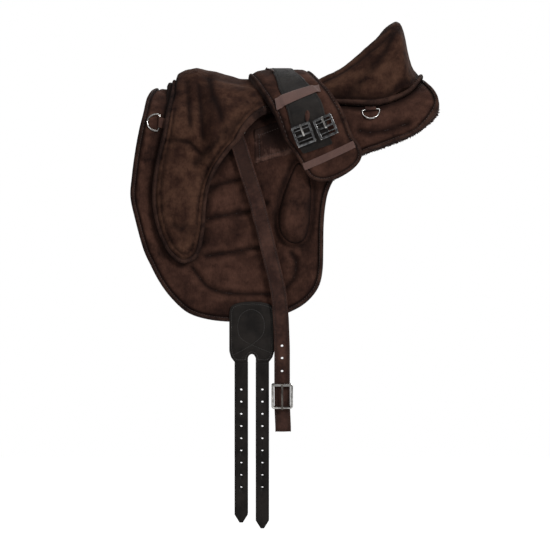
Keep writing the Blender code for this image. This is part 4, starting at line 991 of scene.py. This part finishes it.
def make_side_pieces():
    for side, word in SIDES:
        outline = drawn(cut(THIGH_BLOCK, side), True, 0.004)

        def block_top(x, s):
            from_edge = round_reach(x, s, outline)
            grown = step(np.abs(s), 0.395 * DROP, 0.58 * DROP)
            crown = BLOCK_CROWN * rounding(from_edge, 0.019) * grown
            wrinkled = ripple(x, s, 0.02, 9) * 0.0006 * rounding(from_edge, 0.02)
            return PANEL_BASE + 0.0015 + 0.0028 * rounding(from_edge, 0.004) + crown + wrinkled

        # Painted shade along the block's edge.
        def block_painted_shade(x, s):
            return fade(round_reach(x, s, outline), 0.0042)

        # Painted highlight: lighter over the crown of the block.
        def block_painted_highlight(x, s):
            return rounding(round_reach(x, s, outline) - 0.005, 0.02) * 0.8

        rings = (0.0008, 0.001, 0.0015, 0.002, 0.002)
        flat = thickened(sheet_of(outline, rings, 0.0035), PANEL_BASE, block_top, block_painted_shade, block_painted_highlight)
        nodes = (f"thigh_block_{word}",)
        block = piece(f"thigh_roll_{word}", laid(flat), FLAP_SUEDE, "saddle", nodes)
        panel = marked(cut(SEAT_BASE, side), 0.005, True)

        def panel_top(x, s):
            from_edge = round_reach(x, s, panel)
            folded = 0.0009 * fade(from_edge, 0.0022, 0.003)
            return PANEL_BASE + 0.0012 + 0.0012 * rounding(from_edge, 0.0015) + folded

        # Painted shade: darker along the sewn line inside the edge and over the top of the panel, under the
        # seat's edge.
        def panel_painted_shade(x, s):
            folded = 0.8 * fade(round_reach(x, s, panel), 0.0018, 0.0105)
            return np.maximum(folded, 0.85 * (1 - step(np.abs(s), 0.15, 0.182)))

        # A lighter band painted along the panel's lower edge.
        def panel_lighter_band(x, s):
            return fade(reach(x, np.abs(s), cut(SEAT_BASE[1:6])), 0.005, 0.006) * 0.85

        rings = (0.0006, 0.0012, 0.0014, 0.0016, 0.002)
        flat = thickened(sheet_of(panel, rings, 0.003), PANEL_BASE, panel_top, panel_painted_shade, panel_lighter_band)
        nodes = (f"seat_base_panel_{word}",)
        piece(f"base_panel_{word}", laid(flat), PANEL, "saddle", nodes)
        row = moved_in(panel, 0.01), PANEL_BASE + 0.0023, True
        sewn(f"base_panel_stitching_{word}", [row], THREAD)


# Fleece against the horse


def make_fleece():
    rng = random.Random(11)
    for side, word in SIDES:
        edge = drawn(over_spine(PAD_EDGE))
        edge[:, 1] += np.where(edge[:, 0] > 0.16 * LENGTH, 0.003 * np.sign(edge[:, 1]), 0)
        edge = moved_in(edge, 0.004)
        near = edge[edge[:, 1] > 0.021]
        across = marked([(near[-1][0], 0.0185), (near[0][0], 0.0185)], 0.006, False)
        outline = np.concatenate((near, across)) * (1, side)

        def low(x, s):
            from_edge = round_reach(x, s, outline)
            tufts = wrinkles(x, s, (0.016, 21, 0.0016), (0.007, 22, 0.0009))
            return -0.0132 + 0.007 * (1 - rounding(from_edge, 0.012)) + tufts

        flat = thickened(sheet_of(outline, (0.003, 0.004), 0.005), low, -0.0003)
        wool = piece(f"fleece_lining_{word}", laid(flat), WOOL, "saddle", (f"fleece_{word}",))
        curls = bmesh.new()
        for x, s in marked(outline, 0.0026, True):
            shown = x > 0.155 * LENGTH or (x < -0.4 * LENGTH and abs(s) < 0.05)
            for _ in range(2 if shown else 0):
                base = on_back(np.array([x]), np.array([s]), np.array([rng.uniform(-0.011, -0.002)]))[0]
                way = Vector((rng.uniform(-0.5, 0.7), -side * rng.uniform(-0.1, 0.35), -1.0))
                if abs(s) < 0.16:
                    along = 0.9 if x > 0 else -0.5
                    way = Vector((along, -side * rng.uniform(-0.2, 0.6), rng.uniform(-0.7, 0.6)))
                curl(curls, rng, Vector(base), way)
        piece(f"fleece_curls_{word}", curls, WOOL, "saddle")


def curl(bm, rng, base, way):
    """A tuft of pile: a short tapered lock, bent at its tip."""
    way = way.normalized()
    length = rng.uniform(0.0035, 0.0065)
    matrix = Matrix.Translation(base + way * length * 0.3) @ way.to_track_quat("Z", "Y").to_matrix().to_4x4()
    made = bmesh.ops.create_cone(
        bm, cap_ends=True, segments=5, radius1=rng.uniform(0.0018, 0.0031), radius2=0.0005,
        depth=length, matrix=matrix,
    )["verts"]
    bend = Vector((rng.uniform(-1, 1), rng.uniform(-1, 1), rng.uniform(-0.4, 0.4))) * 0.0016
    for vert in made:
        if (vert.co - base).dot(way) > length * 0.5:
            vert.co += bend


def make_spine_strip():
    strip = marked([(-0.246, -0.015), (0.264, -0.015), (0.264, 0.015), (-0.246, 0.015)], 0.008, True)
    flat = thickened(sheet_of(strip, (0.001,), 0.008), -0.0018, -0.0003)
    piece("gullet_tape", laid(flat), TAPE, "saddle", ("spine_strip",))


# Straps


def punched(outline, holes, cuts):
    """A flat strap with round holes, cut across where it bends."""
    bm = bmesh.new()
    corners = [bm.verts.new((x, y, 0)) for x, y in outline]
    for first, second in zip(corners, corners[1:] + corners[:1]):
        bm.edges.new((first, second))
    for hole in holes:
        place = Matrix.Translation((*hole, 0))
        bmesh.ops.create_circle(bm, segments=14, radius=HOLE_RADIUS, matrix=place)
    bmesh.ops.triangle_fill(bm, edges=bm.edges[:], use_beauty=True)
    for place, direction in cuts:
        parts = bm.verts[:] + bm.edges[:] + bm.faces[:]
        bmesh.ops.bisect_plane(bm, geom=parts, dist=1e-6, plane_co=place, plane_no=direction)
    return bm


def edged(bm, low, high, round_by, holes, hollow, rubbed):
    """Gives a strap its thickness and rounds its cut edges, leaving the punched holes crisp."""
    thickened(bm, low, high, hollow, rubbed)
    bmesh.ops.recalc_face_normals(bm, faces=bm.faces[:])
    rims = [e for e in bm.edges if len(e.link_faces) == 2 and e.calc_face_angle(0) > 1.0]
    rims = [e for e in rims if abs(e.verts[0].co.z - e.verts[1].co.z) < 1e-5]
    for hole in holes:
        rims = [e for e in rims if math.dist(e.verts[0].co.xy, hole) > 0.004]
    bmesh.ops.bevel(bm, geom=rims, offset=round_by, segments=2, profile=0.5, affect="EDGES", material=-1)
    return bm


strap_line = eased([(z, x * LENGTH) for x, z in LEATHER_LINE], 0.04)


def strap_places(side):
    """The stirrup leather's path: down the front, round the loop, up the back and over the ring."""
    ends = np.cumsum((0, FALL, TURN_LOW, FALL, TURN_HIGH))

    def placed(u, v, w):
        front, back = u <= ends[1], (u > ends[2]) & (u <= ends[3])
        low, high = (u > ends[1]) & (u <= ends[2]), u > ends[3]
        share = np.select([front, low, back, high], [u / FALL, 1.0, 1 - (u - ends[2]) / FALL, 0.0])
        angle = np.select([low, high], [(u - ends[1]) / TURN_LOW, (u - ends[3]) / TURN_HIGH], 0.0) * np.pi
        out = np.select([front, low, back, high], [1.0, np.cos(angle), -1.0, -np.cos(angle)])
        down = np.select([low, high], [np.sin(angle), -np.sin(angle)], 0.0)
        opening = step(share, 1 - LOOP_OPENS / FALL, 1)
        rising = step(share, *RISE_SHARES)
        plane = STRAP_PLANE + 0.0026 * rising + 0.005 * opening
        half = STRAP_APART - 0.002 * rising + 0.0047 * opening + w
        slope = (strap_line(share + 0.002) - strap_line(share - 0.002)) / (0.004 * FALL)
        lean = np.arctan(slope) * step(share, 0, 0.06)
        x = PIVOT_X + strap_line(share) + v * np.cos(lean)
        z = LOOP_TOP - share * FALL + v * np.sin(lean) - down * half
        return np.stack((x, -side * (ARCH[0] + plane + out * half), z), 1)

    return placed, ends[-1]


def make_leathers():
    for side, word in SIDES:
        placed, total = strap_places(side)
        body = f"stirrup_leather_{word}_body"
        half = LEATHER_HALF
        outline = [(0, -half), (total, -half), (total, half), (0, half)]
        front = [share * FALL for share in LEATHER_HOLES]
        holes = [(u, 0) for u in front + [2 * FALL + TURN_LOW - u for u in front[:3]]]
        bends = [
            *np.arange(BEND_PITCH, FALL, BEND_PITCH), *np.linspace(FALL, FALL + TURN_LOW, 9),
            *np.arange(FALL + TURN_LOW + BEND_PITCH, 2 * FALL + 0.02, BEND_PITCH),
            *np.linspace(total - TURN_HIGH, total, 8)[:-1],
        ]
        lines = (-LEATHER_SEWN, LEATHER_SEWN)
        cuts = [((u, 0, 0), (1, 0, 0)) for u in bends] + [((0, v, 0), (0, 1, 0)) for v in lines]

        def top(u, v):
            pinched = 0.00035 * fade(np.abs(v), 0.0009, LEATHER_SEWN)
            return LEATHER_HALF_THICK - pinched + ripple(u, v, 0.05, 31) * 0.0001

        # Painted shade along the two sewn lines.
        def hollow(u, v):
            return 0.8 * fade(np.abs(v), 0.001, LEATHER_SEWN)

        # Lighter towards the edges.
        def rubbed(u, v):
            return np.clip(np.abs(v) / LEATHER_HALF, 0, 1) ** 4

        flat = edged(punched(outline, holes, cuts), 0.0, top, 0.0005, holes, hollow, rubbed)
        ends = [f for f in flat.faces if all(min(p.co.x, total - p.co.x) < 0.0006 for p in f.verts)]
        bmesh.ops.delete(flat, geom=ends, context="FACES")
        for vert in flat.verts:
            if min(vert.co.x, total - vert.co.x) < 0.0006:
                vert.co.x = 0 if vert.co.x < 0.1 else total
        laid(flat, placed)
        bmesh.ops.remove_doubles(flat, verts=flat.verts[:], dist=0.00012)
        piece(f"leather_{word}", flat, STRAP, body, (f"stirrup_leather_{word}",))
        rows = [
            ([(start, v), (end, v)], 0.0024, False, 0.0048, 0.0034, 0.0004)
            for v in lines for start, end in ((0.004, FALL - 0.004), (FALL + 0.03, 2 * FALL))
        ]
        sewn(f"leather_stitching_{word}", rows, THREAD, body, placed)


def flat_flap(side):
    """Places on the straight hanging flap: along, up and outwards."""
    return lambda x, z, d: np.stack((x, -side * (ARCH[0] + d), z), 1)


def make_billets():
    head = [(x * HEAD_SIZE[0], z * HEAD_SIZE[1]) for x, z in BILLET_HEAD]
    outer = drawn(head[:8], False, 0.003)
    outline = np.concatenate((outer, marked(head[7:] + head[:1], 0.004, False)[1:-1])) + (HEAD_X, HEAD_Z)
    loop = drawn(HEAD_LOOP, False, 0.003)

    def in_loop(x, z):
        return crease(x, z, loop, 0.0012)

    for side, word in SIDES:
        placed = flat_flap(side)

        def head_top(x, z):
            from_edge = round_reach(x, z, outline)
            groove = 0.0006 * fade(from_edge, 0.0011, 0.005) + 0.0005 * in_loop(x, z)
            padded = 0.001 * rounding(from_edge, 0.0012) + 0.0012 * rounding(from_edge, 0.012)
            return HEAD_FACE + padded - groove + ripple(x, z, 0.03, 41) * 0.0001

        # Painted shade in the groove inside the edge and along the sewn loop.
        def head_painted_shade(x, z):
            return 0.6 * fade(round_reach(x, z, outline), 0.0011, 0.005) + 0.3 * in_loop(x, z)

        # Lighter at the edge.
        def head_lighter_edge(x, z):
            return fade(round_reach(x, z, outline), 0.003)

        sheet = sheet_of(outline, (0.0004, 0.0006, 0.0028, 0.001, 0.0012), 0.0024, False)
        flat = thickened(sheet, BILLET_LOW, head_top, head_painted_shade, head_lighter_edge)
        nodes = (f"billet_head_{word}",)
        piece(f"billet_joint_{word}", laid(flat, placed), BLACK, "saddle", nodes)
        rows = [
            (moved_in(outline, 0.005), 0.0262, True, 0.0044, 0.0034, 0.0005),
            (loop, 0.0266, False, 0.0036, 0.0028, 0.0004),
        ]
        sewn(f"billet_joint_stitching_{word}", rows, DARK_THREAD, "saddle", placed)
        make_bends(side, word)
        for turn, where, length in TAILS:
            make_billet(side, word, where, HEAD_X + turn * TAIL_OUT, length)


def make_bends(side, word):
    """The leather inside the folds, which keeps head and straps joined at every swing."""
    bends = bmesh.new()
    for turn, _, _ in TAILS:
        place = (HEAD_X + turn * TAIL_OUT, -side * (ARCH[0] + FOLD_AT[0]), FOLD_AT[1])
        matrix = Matrix.Translation(place) @ Matrix.Diagonal((*FOLD_SIZE, 1))
        bmesh.ops.create_cube(bends, size=1, matrix=matrix)
    piece(f"billet_bends_{word}", bends, BLACK, "saddle", sharp=30)


def make_billet(side, word, where, x, length):
    """A punched billet strap with a pointed tip and a creased line along each edge."""
    top, tip, tip_half = TAIL_TOP, TAIL_TOP - length, TAIL_HALF * 0.25
    shoulder = tip + 0.0163
    outline = [
        (x - TAIL_HALF, top), (x - TAIL_HALF, shoulder), (x - tip_half, tip),
        (x + tip_half, tip), (x + TAIL_HALF, shoulder), (x + TAIL_HALF, top),
    ]
    holes = [(x, top - down) for down in TAIL_HOLES]
    cuts = [((x + v, 0, 0), (1, 0, 0)) for v in (-0.0106, -TAIL_CREASE, -0.009, 0.009, TAIL_CREASE, 0.0106)]
    cuts += [((0, z, 0), (0, 1, 0)) for z in np.arange(tip, top, 0.012)]

    def face(px, pz):
        line = 0.00045 * fade(np.abs(px - x), 0.0006, TAIL_CREASE)
        return BILLET_FACE - line + ripple(px, pz, 0.06, 43) * 0.0001

    # Painted shade along the creased line and round each punched hole.
    def hollow(px, pz):
        near = np.min([np.hypot(px - hx, pz - hz) for hx, hz in holes], 0)
        return np.maximum(0.8 * fade(np.abs(px - x), 0.0007, TAIL_CREASE), near < 0.0032)

    # Lighter towards the edges.
    def rubbed(px, pz):
        return np.clip(np.abs(px - x) / TAIL_HALF, 0, 1) ** 6

    flat = edged(punched(outline, holes, cuts), BILLET_LOW, face, 0.0006, holes, hollow, rubbed)
    name, node = f"billet_strap_{where}_{word}", f"billet_{where}_{word}"
    piece(name, laid(flat, flat_flap(side)), BLACK, f"{node}_body", (node,))


def make_belt():
    front, rear, end = PIVOT_X - 0.019, PIVOT_X + 0.019, 0.107
    belt = marked([(front, -end), (rear, -end), (rear, end), (front, end)], 0.006, True)
    flat = thickened(sheet_of(belt, (0.001,), 0.006), PANEL_BASE, PANEL_BASE + TAPE_THICKNESS)
    piece("stirrup_belt_tape", laid(flat), TAPE, "saddle", ("stirrup_belt",))
    for _, word in SIDES:
        softened(f"stirrup_tab_{word}", TAPE, 0.0005)


# Short girth


def make_girth():
    body = "girth_body"
    edge = drawn(over_spine(GIRTH_EDGE))
    inner = moved_in(edge, 0.0068)

    def base_plus(extra):
        return lambda x, s: girth_base(x, s) + extra

    def pad_top(x, s):
        from_edge = round_reach(x, s, edge) - 0.008
        wrinkled = wrinkles(x, s, (0.028, 51, 0.0006), (0.01, 52, 0.0002))
        crown = 0.0042 * rounding(from_edge, 0.012)
        return girth_base(x, s) + GIRTH_PAD_TOP + crown + wrinkled * rounding(from_edge, 0.01)

    # Painted shade in a line just inside the edge.
    def pad_painted_shade(x, s):
        return fade(round_reach(x, s, edge), 0.0026, 0.0082)

    # Lighter in a band inside the edge.
    def pad_lighter_band(x, s):
        return 0.5 * fade(round_reach(x, s, edge), 0.006, 0.018)

    rings = (0.0012, 0.0016, 0.0022, 0.003)
    sheet = sheet_of(inner, rings, 0.0042)
    flat = thickened(sheet, base_plus(GIRTH_PAD_LOW), pad_top, pad_painted_shade, pad_lighter_band)
    pad = piece("girth_cushion", laid(flat), FLAP_SUEDE, body, ("girth_pad",))

    def wool_low(x, s):
        return girth_base(x, s) + 0.0004 + 0.001 * (1 + ripple(x, s, 0.012, 53)) / 2

    flat = thickened(sheet_of(inner, (0.003,), 0.0055), wool_low, base_plus(0.0052))
    wool = piece("girth_lining", laid(flat), WOOL, body, ("girth_fleece",))
    make_edging("girth_edging", edge, girth_base, base_plus(GIRTH_EDGING_TOP), "girth_binding", body, 0.008)
    sewn("girth_stitching", [(moved_in(edge, 0.0064), base_plus(0.0146), True)], THREAD, body)
    strap = marked(over_spine(GIRTH_STRAP), 0.005, True)

    def strap_top(x, s):
        from_edge = round_reach(x, s, strap)
        groove = 0.0004 * fade(from_edge, 0.0009, 0.004)
        return girth_base(x, s) + GIRTH_STRAP_TOP + 0.0006 * rounding(from_edge, 0.003) - groove

    # Painted shade in the groove inside the strap's edge.
    def strap_painted_shade(x, s):
        return 0.7 * fade(round_reach(x, s, strap), 0.001, 0.004)

    # Lighter at the edge.
    def strap_lighter_edge(x, s):
        return fade(round_reach(x, s, strap), 0.0025)

    rings = (0.0006, 0.0012, 0.0014, 0.0012, 0.0012)
    sheet = sheet_of(strap, rings, 0.005)
    flat = thickened(sheet, base_plus(GIRTH_STRAP_LOW), strap_top, strap_painted_shade, strap_lighter_edge)
    piece("girth_centre_strap", laid(flat), BLACK, body, ("girth_strap",))
    for ends, where in zip(KEEPERS, ("upper", "lower")):
        for side, word in SIDES:
            name, node = f"girth_elastic_{where}_{word}", f"girth_keeper_{where}_{word}"
            make_keeper(cut(ends, side), strap, name, node)
    make_crown(strap)


def make_crown(strap):
    """Pile that works out beside the strap, a loose lace over it and the strap's stud."""
    rng = random.Random(5)
    tufts = bmesh.new()
    for x in np.linspace(-0.038, -0.027, 18):
        place = (np.array([x]), np.array([rng.uniform(-0.022, 0.022)]))
        base = on_back(*place, girth_base(*place) + 0.0185)[0]
        curl(tufts, rng, Vector(base), Vector((rng.uniform(-1, 1), rng.uniform(-1, 1), rng.uniform(0.2, 1))))
    piece("girth_crown_tufts", tufts, WOOL, "girth_body")
    for side, word in SIDES:
        ends = [(-0.0365, side * 0.002), (-0.0235, side * 0.052)]
        make_keeper(ends, strap, f"girth_lace_{word}", None, 0.0011)
        studs = bmesh.new()
        for s, size in ((0.1425, (0.005, 0.0062, 0.0026)), (0.14, (0.002, 0.002, 0.004))):
            place = Matrix.Translation((0.0455, side * s, float(girth_lift(s)) + 0.0215))
            matrix = place @ Matrix.Diagonal((*size, 1))
            bmesh.ops.create_uvsphere(studs, u_segments=14, v_segments=10, radius=1, matrix=matrix)
        piece(f"girth_stud_{word}", laid(studs), STRAP, "girth_body")


def make_keeper(ends, strap, name, node, half=0.0075):
    """An elastic band across the strap, sewn down to the pad at both ends."""
    start, end = (np.array(p) for p in ends)
    run = (end - start) / np.linalg.norm(end - start)
    wide = np.array((-run[1], run[0])) * half
    outline = marked([start - wide, end - wide, end + wide, start + wide], 0.002, True)

    def over(x, s):
        inside = np.array([covers(strap, px, ps) for px, ps in zip(x, s)])
        outside = np.where(inside, 0, round_reach(x, s, strap))
        return 1 - step(outside, 0.001, 0.009)

    def low(x, s):
        return girth_base(x, s) + KEEPER_LOW + KEEPER_RISE * over(x, s)

    def high(x, s):
        return low(x, s) + 0.001 + 0.0006 * rounding(round_reach(x, s, outline), 0.0012)

    flat = thickened(sheet_of(outline, (0.0005, 0.0008), 0.0022), low, high)
    bench = flat.verts.layers.float_vector["bench"]
    for vert in flat.verts:
        place = np.array(vert[bench][:2]) - start
        vert[bench] = (place @ run, place @ wide / half, 0)
    piece(name, laid(flat), ELASTIC, "girth_body", (node,) if node else ())


def covers(outline, x, s):
    """Whether a closed line goes round a place."""
    first, second = outline, np.roll(outline, -1, 0)
    crosses = (first[:, 1] > s) != (second[:, 1] > s)
    rise = np.where(second[:, 1] == first[:, 1], 1e-9, second[:, 1] - first[:, 1])
    at = first[:, 0] + (s - first[:, 1]) * (second[:, 0] - first[:, 0]) / rise
    return bool(np.count_nonzero(crosses & (x < at)) % 2)


# Metal and small rigid pieces


def copied(node, turn=2):
    """A merged copy of a solid's mesh, with its flat faces whole again."""
    bm = bmesh.new()
    bm.from_mesh(frame["nodes"][node].data)
    bmesh.ops.remove_doubles(bm, verts=bm.verts[:], dist=0.000002)
    if turn:
        bmesh.ops.dissolve_limit(bm, angle_limit=math.radians(turn), verts=bm.verts[:], edges=bm.edges[:])
    return bm


def body_of_node(node):
    """The body that a solid moves with."""
    return frame["nodes"][node]["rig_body"]


def softened(node, finish, width):
    """A rigid piece with its edges rounded over."""
    bm = copied(node)
    rims = [e for e in bm.edges if len(e.link_faces) == 2 and e.calc_face_angle(0) > 0.5]
    bmesh.ops.bevel(bm, geom=rims, offset=width, segments=3, profile=0.5, affect="EDGES", material=-1)
    return piece(f"{node}_made", bm, finish, body_of_node(node), (node,), sharp=45)


def drawn_wire(node, finish):
    """A bent wire, round all along."""
    bm = copied(node, 0)
    bmesh.ops.join_triangles(bm, faces=bm.faces[:], angle_face_threshold=0.6, angle_shape_threshold=3.1)
    bm.normal_update()
    for vert, normal in [(v, v.normal.copy()) for v in bm.verts]:
        vert.co += normal * WIRE_SWELL
    obj = piece(f"{node}_made", bm, finish, body_of_node(node), (node,))
    rounder = obj.modifiers.new("round", "SUBSURF")
    rounder.levels = rounder.render_levels = 2
    return obj


def frame_axes(node):
    """A frame's middle, its long and short directions and its half sizes along them."""
    bm = copied(node)
    longest = max(bm.edges, key=lambda e: e.calc_length())
    broad = max(bm.faces, key=lambda f: f.calc_area())
    tall = (longest.verts[0].co - longest.verts[1].co).normalized()
    tall = tall if tall.z > 0 else -tall
    out = broad.normal.copy()
    wide = tall.cross(out).normalized()
    spans = []
    for way in (tall, wide, out):
        along = [v.co.dot(way) for v in bm.verts]
        spans.append((min(along), max(along)))
    bm.free()
    middle = sum((way * (low + high) / 2 for way, (low, high) in zip((tall, wide, out), spans)), Vector())
    return middle, tall, wide, [(high - low) / 2 for low, high in spans]


def make_rollers(node):
    """The bars that cross a girth buckle's frame, and the rivets at its joints."""
    middle, tall, wide, (high, broad, _) = frame_axes(node)
    bars, rivets = bmesh.new(), bmesh.new()
    turn = wide.to_track_quat("Z", "Y").to_matrix().to_4x4()
    for share in (0.52, -0.5):
        place = Matrix.Translation(middle + tall * high * share) @ turn
        bmesh.ops.create_cone(
            bars, cap_ends=True, segments=14, radius1=ROLLER_RADIUS, radius2=ROLLER_RADIUS,
            depth=2 * broad - 0.004, matrix=place,
        )
    for share in (0.0, -0.5, -0.92):
        for side in (1, -1):
            place = Matrix.Translation(middle + tall * high * share + wide * (broad - 0.0024) * side)
            bmesh.ops.create_uvsphere(rivets, u_segments=12, v_segments=8, radius=RIVET_RADIUS, matrix=place)
    piece(f"{node}_rollers", bars, GUNMETAL, body_of_node(node), sharp=45)
    piece(f"{node}_rivets", rivets, NICKEL, body_of_node(node))


def make_metal():
    for _, word in SIDES:
        # The stirrup ring and prong wear the nickel darkened as painted shade.
        softened(f"stirrup_ring_{word}", SHADED_NICKEL, 0.001)
        softened(f"stirrup_buckle_{word}", NICKEL, 0.0012)
        softened(f"stirrup_prong_{word}", SHADED_NICKEL, 0.0004)
        for where in ("front", "rear"):
            drawn_wire(f"d_ring_{where}_{word}", NICKEL)
            softened(f"d_ring_tab_{where}_{word}", STRAP, 0.0005)
            softened(f"girth_buckle_{where}_{word}", GUNMETAL, 0.001)
            make_rollers(f"girth_buckle_{where}_{word}")
            softened(f"girth_prong_{where}_{word}", NICKEL, 0.0004)


# Floor, light and camera


def make_stage():
    floor = Finish("pale floor", Specular_IOR_Level=0.1)
    grain = floor.noise(3, 4, 0.5)
    colour = floor.mix(grain, (0.8, 0.8, 0.8), (0.84, 0.84, 0.84))
    floor.wears(Base_Color=colour, Roughness=0.85 + grain * 0.1)
    rays = floor.node("ShaderNodeLightPath", output="Is Camera Ray")
    glow = floor.node("ShaderNodeEmission", None, {"Strength": rays * 0.75})
    lit = floor.node("ShaderNodeAddShader", None, {0: Value(floor, floor.shader.outputs[0]), 1: glow})
    floor.links.new(lit.socket, floor.nodes["Material Output"].inputs["Surface"])
    bm = bmesh.new()
    bmesh.ops.create_grid(bm, x_segments=2, y_segments=2, size=30, matrix=Matrix.Translation((0, 0, FLOOR)))
    mesh = bpy.data.meshes.new("floor")
    bm.to_mesh(mesh)
    bm.free()
    ground = bpy.data.objects.new("floor", mesh)
    mesh.materials.append(floor.material)
    bpy.context.scene.collection.objects.link(ground)


def lamp(name, place, size, watts):
    data = bpy.data.lights.new(name, "AREA")
    data.shape = "DISK"
    data.size = size
    data.energy = watts
    obj = bpy.data.objects.new(name, data)
    obj.location = place
    obj.rotation_euler = (Vector((0, 0, -0.2)) - Vector(place)).to_track_quat("-Z", "Y").to_euler()
    bpy.context.scene.collection.objects.link(obj)


def make_light_and_camera():
    """A white sky that is dimmer as a light than as it is seen, four lamps and a distant camera."""
    world = bpy.data.worlds.new("studio")
    bpy.context.scene.world = world
    world.use_nodes = True
    nodes, links = world.node_tree.nodes, world.node_tree.links
    rays = nodes.new("ShaderNodeLightPath")
    seen = nodes.new("ShaderNodeMath")
    seen.operation = "MAXIMUM"
    shown = nodes.new("ShaderNodeMath")
    shown.operation = "MULTIPLY_ADD"
    shown.inputs[1].default_value = 1 - SKY_LIGHT
    shown.inputs[2].default_value = SKY_LIGHT
    for place, ray in enumerate(("Is Camera Ray", "Is Transmission Ray")):
        links.new(rays.outputs[ray], seen.inputs[place])
    links.new(seen.outputs[0], shown.inputs[0])
    links.new(shown.outputs[0], nodes["Background"].inputs["Strength"])
    nodes["Background"].inputs["Color"].default_value = (1, 1, 1, 1)
    for values in LAMPS:
        lamp(*values)
    data = bpy.data.cameras.new("camera")
    data.sensor_width = 36
    data.lens = 36 * CAMERA_AWAY / PICTURE_WIDTH
    data.clip_end = 1000
    camera = bpy.data.objects.new("camera", data)
    camera.location = (PICTURE_MIDDLE[0], -CAMERA_AWAY, PICTURE_MIDDLE[1])
    camera.rotation_euler = (math.radians(90), 0, 0)
    bpy.context.scene.collection.objects.link(camera)
    bpy.context.scene.camera = camera
    bpy.context.scene.view_settings.view_transform = "Standard"


make_light_and_camera()
make_stage()
make_pad()
make_fleece()
make_spine_strip()
make_side_pieces()
make_shell(
    "pommel", POMMEL_EDGE, POMMEL_FOLDS,
    ("pommel_cover", "pommel_foam", "knee_block_near", "knee_block_far"),
)
make_shell("seat", SEAT_EDGE, SEAT_FOLDS, ("seat_cover", "seat_foam"))
make_collar()
make_seam()
make_belt()
make_leathers()
make_billets()
make_girth()
make_metal()
